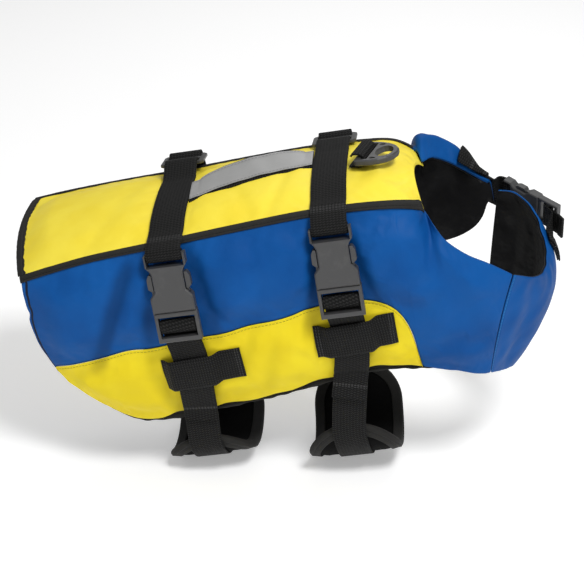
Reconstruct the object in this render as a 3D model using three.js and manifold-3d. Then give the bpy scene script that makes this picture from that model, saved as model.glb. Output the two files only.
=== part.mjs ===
// A padded flotation vest for a dog, filled out as it is when worn. Millimetres, +Z up, +X to the head.
// Every panel, tape and strap on the body of the vest is a layer of one base surface, at its own
// distance from it, so that the layers follow each other and never cross.
import * as THREE from 'three';
import { mergeVertices } from 'three/addons/utils/BufferGeometryUtils.js';
import Module from 'manifold-3d';

const wasm = await Module();
wasm.setup();

// Driving dimensions
const PITCH = 10; // degrees that the nose of the vest points up
const WEB = 25; // width of the webbing
const WEB_THICK = 1.5;
const CLEAR = 0.4; // gap between layers that touch
const STRAP_GAP = 1; // gap between a taut strap and the highest cloth under it
const SEAM_GAP = 0.2; // each panel ends this far from its seam line
const WALL = 3; // foam panels are this thick at their seams
const BACK_PUFF = 4.5; // and this much thicker inside them
const SIDE_PUFF = 5;
const LOWER_PUFF = 3.5;
const SEAM_FLAT = 4.6; // flat margin beside a seam
const TAPE_HALF = 4; // seam tape, half its width
const TAPE_THICK = 1.1;
const CLOTH = 1.6; // one layer of the chest cloth
const LINING = 1.2;
const AXIS_FRONT = 150; // the layers open out from an upright line inside the body
const AXIS_TOP = -35;
const AXIS_BOTTOM = -110;

// Ribs of the side wall from the tail to the chest seam: the top seam, two points below it, the hem.
// Each point is how far forward, how far out from the middle, how high.
const RIBS = [
  { top: [-168, 64, -17], upper: [-170, 64, -46], lower: [-168, 61, -75], hem: [-156, 54, -111] },
  { top: [-146, 66, -12], upper: [-148, 68, -50], lower: [-146, 64, -90], hem: [-137, 51, -133] },
  { top: [-112, 66, -7], upper: [-113, 70, -50], lower: [-112, 65, -100], hem: [-108, 50, -151] },
  { top: [-60, 65, -3], upper: [-60, 70, -49], lower: [-60, 66, -98], hem: [-60, 50, -148] },
  { top: [-10, 63, 0.5], upper: [-10, 69, -47], lower: [-10, 65, -95], hem: [-10, 50, -143] },
  { top: [35, 61, 3], upper: [35, 68, -42], lower: [35, 65, -88], hem: [35, 51, -134] },
  { top: [70, 60, 3], upper: [70, 67, -41], lower: [70, 64, -86], hem: [70, 52, -129] },
  { top: [97, 58, 0.5], upper: [98, 66, -43], lower: [98, 64, -88], hem: [98, 53, -131] },
  { top: [113, 50, -6], upper: [113, 65, -46], lower: [113, 63, -91], hem: [113, 53, -135] },
  { top: [118, 40, -14], upper: [120, 63, -49], lower: [120, 62, -93], hem: [120, 53, -137] },
  { top: [123.5, 56, -18.5], upper: [128, 64, -54], lower: [127.5, 61.5, -97], hem: [126, 52.5, -138.5] },
  { top: [131, 62, -30], upper: [137, 64, -64], lower: [135, 61, -103], hem: [132, 52, -141] },
  { top: [144, 63, -42], upper: [146, 63.5, -74], lower: [142, 60, -108], hem: [138, 51, -143.5] },
  { top: [158, 61, -51.5], upper: [155, 61, -82], lower: [149, 57.5, -113], hem: [143.5, 49, -145.5] },
  { top: [173.5, 57, -64], upper: [163.5, 57.5, -90], lower: [155.5, 53.5, -117], hem: [148.5, 46, -147] },
];
// The vest hangs a little twisted: its far side is further back and higher at the tail.
const FAR_RIBS = [
  { top: [-184, 64, -10], upper: [-184, 65, -42], lower: [-180, 61, -73], hem: [-166, 54, -110] },
  { top: [-156, 66, -8], upper: [-157, 68, -47], lower: [-153, 64, -88], hem: [-142, 51, -132] },
  { top: [-114, 66, -5.5], upper: [-115, 70, -49], lower: [-113, 65, -99], hem: [-109, 50, -150.5] },
];
// The far shoulder is a free flap, so its neck edge stands a little higher than the near one.
const FLAP_RIBS = [
  { top: [126, 54, -18], upper: [130, 64, -54], lower: [131, 61, -96], hem: [131, 52, -138] },
  { top: [137, 62, -27], upper: [141, 65, -61], lower: [142, 61, -100], hem: [142, 51, -141] },
  { top: [150, 64, -37], upper: [154, 64, -69], lower: [155, 60, -105], hem: [153, 49, -144] },
  { top: [164, 63, -46], upper: [167, 62, -78], lower: [166, 57, -112], hem: [162, 47, -147] },
];
// The back panel's middle line beside the first ten ribs: its place and how far it rises above them.
const BACK = [
  { spine: -181, arch: 4.5 },
  { spine: -154, arch: 5 },
  { spine: -113, arch: 5.5 },
  { spine: -60, arch: 5.5 },
  { spine: -10, arch: 5.5 },
  { spine: 35, arch: 5.5 },
  { spine: 70, arch: 6 },
  { spine: 94, arch: 7.5 },
  { spine: 107, arch: 11 },
  { spine: 113, arch: 15 },
];
// Ribs of the chest piece, from its seam on the near side round the front to its free far edge.
const CHEST = [
  { top: [173.5, -57, -64], upper: [163.5, -57.5, -90], lower: [155.5, -53.5, -117], hem: [148.5, -46, -147] },
  { top: [188, -39, -77], upper: [185, -38, -102], lower: [172, -34, -131], hem: [158, -29, -156] },
  { top: [197, -13, -85], upper: [199, -12, -109], lower: [186, -11, -138], hem: [166, -10, -163] },
  { top: [200, 16, -78], upper: [204, 17, -102], lower: [190, 16, -132], hem: [169, 13, -162] },
  { top: [193, 40, -59], upper: [196, 41, -87], lower: [184, 39, -120], hem: [165, 33, -153] },
  { top: [182, 54, -52], upper: [183, 56, -79], lower: [174, 54, -109], hem: [159, 47, -144] },
  { top: [170, 60, -51], upper: [164, 60, -77], lower: [158, 58, -104], hem: [151, 53, -137] },
];
// The lower panel's turned top edge, seen from the side, down to its rounded front corner.
const LOWER_SEAM = [
  { x: -166, z: -93.6 }, { x: -148, z: -90.5 }, { x: -125, z: -86.3 }, { x: -104, z: -82 },
  { x: -79, z: -81.4 }, { x: -52, z: -78 }, { x: -32, z: -77 }, { x: -14, z: -73.4 },
  { x: 4, z: -72.2 }, { x: 30, z: -66 }, { x: 55, z: -63.5 }, { x: 76, z: -67 },
  { x: 90, z: -77 }, { x: 97.5, z: -95 }, { x: 100.6, z: -123 },
];
const FAR_TAIL = { x: -172.75, z: -94.8 }; // the far side's seam starts at its tail, further back
// The free lower edge of the far shoulder flap, from the lower panel's corner to the front.
const FLAP_EDGE = [
  { x: 104, z: -91 }, { x: 118, z: -89 }, { x: 130, z: -87 }, { x: 141, z: -84 },
  { x: 150, z: -79 }, { x: 157, z: -71 }, { x: 162, z: -60 },
];
const FLAP_SPLIT = -90; // the flap leaves the lower panel's top edge at this height
// Soft folds of the side walls: place, lean (forward for each mm up), depth, half width, and the
// stretch of the rib that it covers.
const FOLDS = [
  { x: -156, lean: 0.1, depth: 1.6, half: 7, from: 0.2, to: 0.9 },
  { x: -122, lean: 0.25, depth: 2.6, half: 9, from: 0.08, to: 0.8 },
  { x: -92, lean: -0.1, depth: 1.5, half: 8, from: 0.3, to: 0.98 },
  { x: -60, lean: 0, depth: 3.2, half: 19, from: 0, to: 1 },
  { x: -22, lean: 0.3, depth: 1.6, half: 9, from: 0.1, to: 0.9 },
  { x: 12, lean: 0.15, depth: 1.7, half: 8, from: 0.15, to: 1 },
  { x: 54, lean: 0, depth: 3.2, half: 19, from: 0, to: 1 },
  { x: 92, lean: -0.5, depth: 1.6, half: 9, from: 0.15, to: 0.75 },
  { x: 140, lean: -0.3, depth: 1, half: 11, from: 0.3, to: 0.9 },
];
const CHEST_FOLDS = [
  { at: 0.9, depth: 2, half: 0.28, from: 0.1, to: 0.9 },
  { at: 2.1, depth: 1.4, half: 0.35, from: 0.4, to: 1 },
  { at: 3.3, depth: 1.6, half: 0.3, from: 0.25, to: 0.95 },
  { at: 4.6, depth: 1.2, half: 0.3, from: 0, to: 0.7 },
];

// The girth straps: where each crosses the back and hangs at the belly, and the pad below it.
const GIRTHS = [
  {
    name: 'rear', x: -60, belly: -68, buckle: -6.5, keeper: -53, keeperZ: -103, slider: -60,
    padHalf: 33, padTop: -172, padDeep: 30, tail: -151,
  },
  {
    name: 'front', x: 55, belly: 40, buckle: -4.5, keeper: 59, keeperZ: -91, slider: 55,
    padHalf: 34, padTop: -176, padDeep: 43, tail: -146,
  },
];
const KEEPER_LONG = 58;
const KEEPER_HIGH = 26;
const PAD_REACH = 47; // half the width of the belly pads' U, to the middle of their thickness
const PAD_EDGE = 3.4; // thickness of a pad at its bound edge
const PAD_THICK = 6.4;
const PAD_BIND = 7; // width of the bound edge

const BUCKLE = { long: 65, half: 15, thick: 9, bar: 3.5, slotEnd: 8.6, collar: 27.5, female: 42 };
const SLIDER = { y: 54, rise: 10.2, tilt: 8, half: 16.5, long: 24, thick: 2.6, bar: 3.4 };
const HANDLE = {
  from: -47, to: 42, rear: -8, front: 7, half: 13.5, bow: 9, tape: 11.5, tapeThick: 0.5, twist: [14, -6],
};
const RING = { x: 80, y: -5, yaw: -18, barHalf: 2.2, loop: 4.7, half: 17, long: 28, thick: 4.4 };
const LOOP_START = 68;
const HALF_BACK = 61; // half width of the back panel between the girth straps
const HOLD = 4.2; // the rib of the back panel where the wearer's back carries the vest

// Small maths on points held as [x, y, z]
const add = (a, b, k = 1) => [a[0] + b[0] * k, a[1] + b[1] * k, a[2] + b[2] * k];
const sub = (a, b) => add(a, b, -1);
const mix = (a, b, t) => a.map((value, i) => value + (b[i] - value) * t);
const dot = (a, b) => a[0] * b[0] + a[1] * b[1] + a[2] * b[2];
const cross = (a, b) => [
  a[1] * b[2] - a[2] * b[1], a[2] * b[0] - a[0] * b[2], a[0] * b[1] - a[1] * b[0],
];
const span = (a) => Math.hypot(...a);
const unit = (a) => a.map((value) => value / span(a));
const clamp = (value, low, high) => Math.min(high, Math.max(low, value));
const radians = (degrees) => degrees * Math.PI / 180;
const smooth = (t) => clamp(t, 0, 1) ** 2 * (3 - 2 * clamp(t, 0, 1));

// A smooth curve through rows of numbers, read at t from 0 to the last row
function through(rows, t) {
  const last = rows.length - 1;
  const k = clamp(Math.floor(t), 0, last - 1);
  const f = t - k;
  const row = (i) => {
    if (i < 0) return add2(rows[0], rows[1]);
    if (i > last) return add2(rows[last], rows[last - 1]);
    return rows[i];
  };
  const [a, b, c, d] = [row(k - 1), row(k), row(k + 1), row(k + 2)];
  return b.map((value, i) => value + 0.5 * f * (c[i] - a[i]
    + f * (2 * a[i] - 5 * b[i] + 4 * c[i] - d[i] + f * (3 * (b[i] - c[i]) + d[i] - a[i]))));
}
const add2 = (end, inner) => end.map((value, i) => 2 * value - inner[i]);

// A rib is the cubic through its four points, at 0, 1/3, 2/3 and 1 of its way down
function ribPoint(rows, u, v) {
  const weights = [
    -4.5 * (v - 1 / 3) * (v - 2 / 3) * (v - 1), 13.5 * v * (v - 2 / 3) * (v - 1),
    -13.5 * v * (v - 1 / 3) * (v - 1), 4.5 * v * (v - 1 / 3) * (v - 2 / 3),
  ];
  const points = ['top', 'upper', 'lower', 'hem'].map((key) => through(rows[key], u));
  return points.reduce((sum, point, i) => add(sum, point, weights[i]), [0, 0, 0]);
}
const columnsOf = (ribs) => Object.fromEntries(
  ['top', 'upper', 'lower', 'hem'].map((key) => [key, ribs.map((rib) => rib[key])]),
);
const RIGHT = columnsOf(RIBS);
const LEFT = columnsOf([...FAR_RIBS, ...RIBS.slice(3, 10), ...FLAP_RIBS]);
const FRONT = columnsOf(CHEST);
const BACK_ROWS = BACK.map((row) => [row.spine, row.arch]);

// Base surfaces: side is -1 for the near wall and 1 for the far wall
function sidePoint(side, u, v) {
  const point = ribPoint(side < 0 ? RIGHT : LEFT, u, v);
  return [point[0], side * point[1], point[2]];
}
const chestPoint = (u, v) => ribPoint(FRONT, u, v);
function backPoint(u, w) {
  const [near, far] = [through(RIGHT.top, u), through(LEFT.top, u)];
  const [spine, arch] = through(BACK_ROWS, u);
  const [seam, skew] = [mix(near, far, 0.5), sub(far, near).map((value) => value * w / 2)];
  return [
    spine + (seam[0] - spine) * w * w + skew[0], seam[1] * w, seam[2] + skew[2] + arch * (1 - w * w),
  ];
}
const axisOf = (p) => [Math.min(p[0], AXIS_FRONT), 0, clamp(p[2], AXIS_BOTTOM, AXIS_TOP)];
const lift = (p, distance) => add(p, unit(sub(p, axisOf(p))), distance);

const ribLength = (side, u) => {
  const points = [0, 1 / 3, 2 / 3, 1].map((v) => sidePoint(side, u, v));
  return span(sub(points[1], points[0])) + span(sub(points[2], points[1])) + span(sub(points[3], points[2]));
};

// The place on a side wall whose forward distance and height are given, by Newton's steps
function locate(side, x, z, start = [5, 0.5]) {
  let [u, v] = start;
  const step = 1e-3;
  for (let turn = 0; turn < 30; turn += 1) {
    const p = sidePoint(side, u, v);
    const pu = sub(sidePoint(side, u + step, v), p).map((d) => d / step);
    const pv = sub(sidePoint(side, u, v + step), p).map((d) => d / step);
    const det = pu[0] * pv[2] - pv[0] * pu[2];
    const [dx, dz] = [x - p[0], z - p[2]];
    u += clamp((dx * pv[2] - dz * pv[0]) / det, -1, 1);
    v += clamp((dz * pu[0] - dx * pu[2]) / det, -0.3, 0.3);
  }
  return [u, v];
}

// Values spaced evenly by length along a curve
function even(curve, from, to, count) {
  const fine = 400;
  const lengths = [0];
  for (let i = 1; i <= fine; i += 1) {
    const a = curve(from + (to - from) * (i - 1) / fine);
    const b = curve(from + (to - from) * i / fine);
    lengths.push(lengths[i - 1] + span(sub(b, a)));
  }
  const values = [];
  for (let k = 0, i = 0; k <= count; k += 1) {
    const goal = lengths[fine] * k / count;
    while (i < fine - 1 && lengths[i + 1] < goal) i += 1;
    const f = (goal - lengths[i]) / (lengths[i + 1] - lengths[i]);
    values.push(from + (to - from) * (i + clamp(f, 0, 1)) / fine);
  }
  return values;
}

// An outline drawn from the side, as places on a side wall, with the widening of gaps on its slope
function outline(side, rows, count, start) {
  const points = rows.map((row) => [row.x, 0, row.z]);
  let guess = start;
  return even((t) => through(points, t), 0, rows.length - 1, count).map((t) => {
    const [x, , z] = through(points, t);
    const near = through(points, t + 0.01);
    guess = locate(side, x, z, guess);
    return { u: Math.max(0, guess[0]), v: guess[1], slope: Math.abs((near[2] - z) / (near[0] - x)) };
  });
}
const edgeAt = (edge, u) => {
  const i = clamp(edge.findIndex((row) => row.u > u), 1, edge.length - 1);
  const k = edge[edge.length - 1].u <= u ? edge.length - 1 : i;
  const f = clamp((u - edge[k - 1].u) / (edge[k].u - edge[k - 1].u || 1), 0, 1);
  return {
    v: edge[k - 1].v + (edge[k].v - edge[k - 1].v) * f,
    slope: edge[k - 1].slope + (edge[k].slope - edge[k - 1].slope) * f,
  };
};

// Fractions of a length, with two close steps at each end that keep a seam's margin flat
function margins(length, count) {
  const near = [0, (SEAM_FLAT + 0.6) / length, 13 / length];
  const inner = count - 2 * near.length + 2;
  const middle = Array.from({ length: inner - 1 }, (_, i) => near[2] + (1 - 2 * near[2]) * (i + 1) / inner);
  return [...near, ...middle, ...near.map((t) => 1 - t).reverse()];
}

const SEAM_COLUMNS = 26;
const seams = new Map([
  [-1, outline(-1, LOWER_SEAM, SEAM_COLUMNS, [0.1, 0.85])],
  [1, outline(1, [FAR_TAIL, ...LOWER_SEAM], SEAM_COLUMNS, [0, 0.85])],
]);
const hemStart = locate(-1, 101.3, -131.5, [7.2, 1])[0];
const topEdge = (u) => sidePoint(-1, u, 0);
const CORNER = even(topEdge, hemStart, 9, 5); // columns that the back and the sides share at the neck
const rightEdge = [
  ...seams.get(-1), ...[...CORNER, ...even(topEdge, 9, 14, 8).slice(1)].map((u) => ({ u, v: 1, slope: 0 })),
];
const seamAbove = seams.get(1).filter((row) => sidePoint(1, row.u, row.v)[2] > FLAP_SPLIT);
const flapLine = [seamAbove[seamAbove.length - 1], ...outline(1, FLAP_EDGE, 16, [7.3, 0.66])];
const leftEdge = [
  ...seamAbove,
  ...[...CORNER, ...even(topEdge, 9, 13, 7).slice(1)].map((u) => ({ u, ...edgeAt(flapLine, u) })),
];

// How far the padded panels stand out from the base surface
const ramp = (distance, rise) => smooth((distance - SEAM_FLAT) / rise);
function foldDepth(x, z, v) {
  return FOLDS.reduce((sum, fold) => {
    const off = (x - fold.x - fold.lean * (z + 70)) / fold.half;
    const reach = smooth((v - fold.from + 0.12) / 0.2) * smooth((fold.to - v + 0.12) / 0.2);
    return sum + fold.depth * Math.exp(-off * off) * reach;
  }, 0);
}
function sidePuff(side, edge, u, v) {
  const p = sidePoint(side, u, v);
  const long = ribLength(side, u);
  const low = edgeAt(edge, u);
  const below = v > low.v;
  const fromEdge = Math.abs(v - low.v) * long / Math.hypot(1, low.slope);
  const front = side < 0 ? sidePoint(side, 14, v)[0] : sidePoint(side, 13, v)[0];
  const inside = ramp(below ? fromEdge : v * long, 20) * ramp(below ? (1 - v) * long : fromEdge, 20)
    * ramp(p[0] - sidePoint(side, 0, v)[0], 18) * ramp(front - p[0], 18);
  return inside * ((below ? LOWER_PUFF : SIDE_PUFF) - foldDepth(p[0], p[2], v));
}
function backPuff(u, w) {
  const p = backPoint(u, w);
  const half = through(RIGHT.top, u)[1];
  const inside = ramp((1 - Math.abs(w)) * half, 30) * ramp(p[0] - backPoint(0, w)[0], 22)
    * ramp(backPoint(9, w)[0] - p[0], 22);
  const pressed = GIRTHS.reduce((sum, girth) => sum + 1.6 * Math.exp(-(((p[0] - girth.x) / 20) ** 2)), 0);
  return inside * (BACK_PUFF - pressed);
}

// Meshes
const COLOURS = {
  lemon: [0xf7e02a, 0.72], yellow: [0xe6cc1e, 0.72], blue: [0x1b5aa8, 0.7], tape: [0x2c2c2a, 0.9],
  web: [0x161616, 0.85], plastic: [0x3c3d3e, 0.45], lining: [0x0e0e0f, 0.75], reflective: [0x97989a, 0.4],
  pad: [0x121212, 0.95],
};
const vest = new THREE.Group();
function put(name, colour, geometry, parent = vest) {
  const [color, roughness] = COLOURS[colour];
  const mesh = new THREE.Mesh(geometry, new THREE.MeshStandardMaterial({ color, roughness, metalness: 0 }));
  mesh.name = name;
  parent.add(mesh);
  return mesh;
}

// Triangles with their faces turned outwards, whichever way they were listed
function solid(points, triangles) {
  let volume = 0;
  for (let i = 0; i < triangles.length; i += 3) {
    const [a, b, c] = [points[triangles[i]], points[triangles[i + 1]], points[triangles[i + 2]]];
    volume += dot(a, cross(b, c));
  }
  if (volume < 0) {
    for (let i = 0; i < triangles.length; i += 3) {
      [triangles[i + 1], triangles[i + 2]] = [triangles[i + 2], triangles[i + 1]];
    }
  }
  const geometry = new THREE.BufferGeometry();
  geometry.setAttribute('position', new THREE.Float32BufferAttribute(points.flat(), 3));
  geometry.setIndex(triangles);
  geometry.computeVertexNormals();
  return geometry;
}

// A closed wall between an outer and an inner grid of points
function wall(columns, rows, outer, inner) {
  const points = [];
  const triangles = [];
  [outer, inner].forEach((place) => {
    for (let i = 0; i <= columns; i += 1) {
      for (let j = 0; j <= rows; j += 1) points.push(place(i, j));
    }
  });
  const total = (columns + 1) * (rows + 1);
  const at = (i, j, layer) => layer * total + i * (rows + 1) + j;
  const quad = (a, b, c, d) => triangles.push(a, b, c, a, c, d);
  for (let i = 0; i < columns; i += 1) {
    for (let j = 0; j < rows; j += 1) {
      quad(at(i, j, 0), at(i + 1, j, 0), at(i + 1, j + 1, 0), at(i, j + 1, 0));
      quad(at(i, j, 1), at(i, j + 1, 1), at(i + 1, j + 1, 1), at(i + 1, j, 1));
    }
    quad(at(i, 0, 0), at(i, 0, 1), at(i + 1, 0, 1), at(i + 1, 0, 0));
    quad(at(i, rows, 0), at(i + 1, rows, 0), at(i + 1, rows, 1), at(i, rows, 1));
  }
  for (let j = 0; j < rows; j += 1) {
    quad(at(0, j, 0), at(0, j + 1, 0), at(0, j + 1, 1), at(0, j, 1));
    quad(at(columns, j, 0), at(columns, j, 1), at(columns, j + 1, 1), at(columns, j + 1, 0));
  }
  return solid(points, triangles);
}

// A ring of points for each station, joined along the way and closed at both ends
function sweep(stations, section, place) {
  const points = [];
  const triangles = [];
  const size = section.length;
  stations.forEach((station) => section.forEach((corner) => points.push(place(station, corner))));
  for (let k = 0; k < stations.length - 1; k += 1) {
    for (let i = 0; i < size; i += 1) {
      const [a, b] = [k * size + i, k * size + (i + 1) % size];
      triangles.push(a, b, b + size, a, b + size, a + size);
    }
  }
  const flat = section.map((corner) => new THREE.Vector2(corner[0], corner[1]));
  const last = (stations.length - 1) * size;
  THREE.ShapeUtils.triangulateShape(flat, []).forEach(([a, b, c]) => {
    triangles.push(a, c, b, last + a, last + b, last + c);
  });
  return solid(points, triangles);
}

const RIBBON_STEP = 9; // webbing has a section at each control point, and at least this often
// Webbing along a smooth path: points are the middle of its thickness, across is the way of its width,
// the same all along or one for each point
function ribbon(controls, across, width, thick) {
  const curve = new THREE.CatmullRomCurve3(
    controls.map((p) => new THREE.Vector3(...p)), false, 'centripetal',
  );
  const last = controls.length - 1;
  const stations = [0];
  for (let i = 0; i < last; i += 1) {
    const parts = Math.max(1, Math.round(span(sub(controls[i + 1], controls[i])) / RIBBON_STEP));
    for (let part = 1; part <= parts; part += 1) stations.push((i + part / parts) / last);
  }
  const steps = stations.length - 1;
  const widthAt = (t) => {
    const k = Math.min(last - 1, Math.floor(t * last));
    return mix(across[k], across[k + 1], t * last - k);
  };
  const place = (k, side, face) => {
    const t = stations[k];
    const tangent = curve.getTangent(t).toArray();
    const out = unit(cross(across.length === controls.length ? widthAt(t) : across, tangent));
    const flat = unit(cross(tangent, out));
    return add(add(curve.getPoint(t).toArray(), flat, side * width / 2), out, face * thick / 2);
  };
  const outer = (i, j) => place(i, j ? 1 : -1, 1);
  const inner = (i, j) => place(i, j ? 1 : -1, -1);
  return wall(steps, 1, outer, inner);
}

// An extruded outline with rounded edges, in its own upright frame
function plate(shape, thick, bevel) {
  const geometry = new THREE.ExtrudeGeometry(shape, {
    depth: thick - 2 * bevel, bevelEnabled: bevel > 0, bevelThickness: bevel, bevelSize: bevel,
    bevelOffset: -bevel, bevelSegments: 1, curveSegments: 5,
  });
  geometry.translate(0, 0, bevel);
  return geometry;
}
function polygon(points) {
  return new THREE.Shape(points.map(([x, y]) => new THREE.Vector2(x, y)));
}
function toManifold(geometry) {
  const bare = geometry.clone();
  bare.deleteAttribute('normal');
  bare.deleteAttribute('uv');
  const merged = mergeVertices(bare, 1e-4);
  const vertProperties = new Float32Array(merged.attributes.position.array);
  const triVerts = new Uint32Array(merged.index.array);
  return new wasm.Manifold(new wasm.Mesh({ numProp: 3, vertProperties, triVerts }));
}
function fromManifold(manifold) {
  const mesh = manifold.getMesh();
  const geometry = new THREE.BufferGeometry();
  geometry.setAttribute('position', new THREE.BufferAttribute(mesh.vertProperties, 3));
  geometry.setIndex(new THREE.BufferAttribute(mesh.triVerts, 1));
  geometry.computeVertexNormals();
  return geometry;
}
function block(x0, x1, y0, y1, z0, z1) {
  const geometry = new THREE.BoxGeometry(x1 - x0, y1 - y0, z1 - z0);
  geometry.translate((x0 + x1) / 2, (y0 + y1) / 2, (z0 + z1) / 2);
  return geometry;
}
const carve = (body, tools) => fromManifold(
  tools.reduce((left, tool) => left.subtract(toManifold(tool)), toManifold(body)),
);

// Frames: across, along (up the strap) and out, with an origin, for stiff pieces on the cloth
function frameOf(origin, across, along) {
  const out = unit(cross(across, along));
  const a = unit(cross(along, out));
  return { origin, a, b: unit(along), n: out };
}
const inFrame = (frame, x, y, z) => add(add(add(frame.origin, frame.a, x), frame.b, y), frame.n, z);
function matrixOf(frame) {
  const [a, b, n] = [frame.a, frame.b, frame.n].map((v) => new THREE.Vector3(...v));
  return new THREE.Matrix4().makeBasis(a, b, n).setPosition(...frame.origin);
}

// Padded panels
const gapAt = (side, row) => SEAM_GAP * Math.hypot(1, row.slope) / ribLength(side, row.u);
const SIDE_ROWS = 8;
function sidePlace(side, edge) {
  return (i, j) => {
    const column = edge[i];
    const u = clamp(column.u, 0, (side < 0 ? 14 : 13) - 0.012);
    const long = ribLength(side, u);
    const top = SEAM_GAP / long;
    const bottom = column.v - (column.v < 1 ? gapAt(side, column) : 0);
    return [u, top + (bottom - top) * margins(long * (bottom - top), SIDE_ROWS)[j]];
  };
}
function sidePanel(name, side, edge) {
  const place = sidePlace(side, edge);
  const outer = (i, j) => {
    const [u, v] = place(i, j);
    return lift(sidePoint(side, u, v), sidePuff(side, edge, u, v));
  };
  const inner = (i, j) => lift(sidePoint(side, ...place(i, j)), -WALL);
  put(name, 'blue', wall(edge.length - 1, SIDE_ROWS, outer, inner));
}
function lowerPanel(name, side) {
  const rows = 5;
  const edge = seams.get(side);
  const place = (i, j) => {
    const top = edge[i].v + gapAt(side, edge[i]);
    return [edge[i].u, top + (1 - top) * j / rows];
  };
  const outer = (i, j) => {
    const [u, v] = place(i, j);
    return lift(sidePoint(side, u, v), sidePuff(side, edge, u, v));
  };
  const inner = (i, j) => lift(sidePoint(side, ...place(i, j)), -WALL);
  put(name, 'yellow', wall(edge.length - 1, rows, outer, inner));
}
const seamColumns = [...even(topEdge, 0, hemStart, 23), ...CORNER.slice(1)];
seamColumns.splice(1, 0, seamColumns[1] / 2);
const seamLast = seamColumns.length - 1;
function backPanel() {
  const rows = 12;
  const place = (i, j) => {
    const half = through(RIGHT.top, seamColumns[i])[1];
    return [seamColumns[i], (1 - SEAM_GAP / half) * (2 * margins(2 * half, rows)[j] - 1)];
  };
  const outer = (i, j) => lift(backPoint(...place(i, j)), backPuff(...place(i, j)));
  const inner = (i, j) => lift(backPoint(...place(i, j)), -WALL);
  put('back_panel', 'lemon', wall(seamLast, rows, outer, inner));
}

// The chest piece is one layer of cloth over its lining
function chestFold(u, v) {
  return CHEST_FOLDS.reduce((sum, fold) => {
    const off = (u - fold.at) / fold.half;
    const reach = smooth((v - fold.from + 0.1) / 0.2) * smooth((fold.to - v + 0.1) / 0.2);
    return sum + fold.depth * Math.exp(-off * off) * reach;
  }, 0);
}
function chestLayer(name, colour, high, low) {
  const columns = even((u) => chestPoint(u, 0.4), 0.012, 6, 18);
  const rows = 6;
  const place = (i, j, layer) => {
    const [u, v] = [columns[i], j / rows];
    return lift(chestPoint(u, v), layer - chestFold(u, v) * smooth(u / 0.4));
  };
  put(name, colour, wall(18, rows, (i, j) => place(i, j, high), (i, j) => place(i, j, low)));
}
function flapLining() {
  const first = leftEdge.findIndex((row) => sidePoint(1, row.u, row.v)[0] > 76);
  const place = sidePlace(1, leftEdge);
  const layer = (depth) => (i, j) => lift(sidePoint(1, ...place(first + i, j)), -depth);
  const near = WALL + CLEAR;
  const last = leftEdge.length - 1 - first;
  put('flap_lining', 'lining', wall(last, SIDE_ROWS, layer(near), layer(near + LINING)));
}

// Tapes and bindings
function seamTape(name, side) {
  const place = (i, j) => {
    const u = seamColumns[i];
    if (j === 0) return backPoint(u, side * (1 - TAPE_HALF / through(RIGHT.top, u)[1]));
    return sidePoint(side, u, (j - 1) * TAPE_HALF / ribLength(side, u));
  };
  const low = (i) => CLEAR + 0.4 * smooth(seamColumns[i] - 6);
  put(name, 'tape', wall(
    seamLast, 2, (i, j) => lift(place(i, j), low(i) + TAPE_THICK), (i, j) => lift(place(i, j), low(i)),
  ));
}
function rearBinding() {
  const section = [
    [5, CLEAR], [5, CLEAR + TAPE_THICK], [-1.5, CLEAR + TAPE_THICK], [-1.5, -WALL - CLEAR - TAPE_THICK],
    [5, -WALL - CLEAR - TAPE_THICK], [5, -WALL - CLEAR], [-CLEAR, -WALL - CLEAR], [-CLEAR, CLEAR],
  ];
  const stations = even((w) => backPoint(0, w), -0.925, 0.925, 12);
  put('rear_binding', 'tape', sweep(stations, section, (w, [inward, out]) => {
    const edge = backPoint(0, w);
    const along = unit(sub(backPoint(0.15, w), edge));
    return lift(add(edge, along, inward), out);
  }));
}
function hemFacing(name, side, last) {
  const columns = even((u) => sidePoint(side, u, 1), 0.05, last, 26);
  const drop = (u) => 3 + 1.3 * Math.sin(2.3 * u) + 0.9 * Math.sin(5.1 * u + 1);
  const place = (i, j) => {
    const u = columns[i];
    return sidePoint(side, u, 1 + (j === 0 ? -8 : drop(u) * (j - 1)) / ribLength(side, u));
  };
  const high = -WALL - CLEAR;
  put(name, 'tape', wall(
    26, 2, (i, j) => lift(place(i, j), high), (i, j) => lift(place(i, j), high - TAPE_THICK),
  ));
}

// Places above the outer face of the near or far wall, and of the back, at a distance along its normal
const normalOf = (at, sign) => {
  const [p, pu, pv] = [at(0, 0), at(0.01, 0), at(0, 0.01)];
  return unit(cross(sub(pu, p), sub(pv, p))).map((value) => value * sign);
};
function sideSkin(side, x, z, distance, edge = seams.get(side)) {
  const [u, v] = locate(side, x, z, [9, 0.4]);
  const puff = v > 1 ? 0 : sidePuff(side, edge, u, v);
  const normal = normalOf((du, dv) => sidePoint(side, u + du, v + dv), side);
  return add(lift(sidePoint(side, u, v), puff), normal, distance);
}
function backSkin(x, w, distance) {
  let u = 4;
  for (let turn = 0; turn < 30; turn += 1) {
    const slope = (backPoint(u + 0.001, w)[0] - backPoint(u, w)[0]) / 0.001;
    u += clamp((x - backPoint(u, w)[0]) / slope, -1, 1);
  }
  const seam = (1 - Math.abs(w)) * through(RIGHT.top, u)[1] < TAPE_HALF + 1;
  const normal = normalOf((du, dw) => backPoint(u + du, w + dw), 1);
  return add(lift(backPoint(u, w), seam ? CLEAR + TAPE_THICK : backPuff(u, w)), normal, distance);
}
// The middle of a strap that lies flat across what is under it, so it clears the highest of it
const ACROSS = [-0.52, -0.26, 0, 0.26, 0.52].map((part) => part * WEB);
function strapOn(skin, x, place, distance) {
  const middle = skin(x, place, 0);
  const out = unit(sub(skin(x, place, 1), middle));
  const high = Math.max(...ACROSS.map((off) => dot(sub(skin(x + off, place, 0), middle), out)));
  return add(middle, out, high + distance);
}

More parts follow.
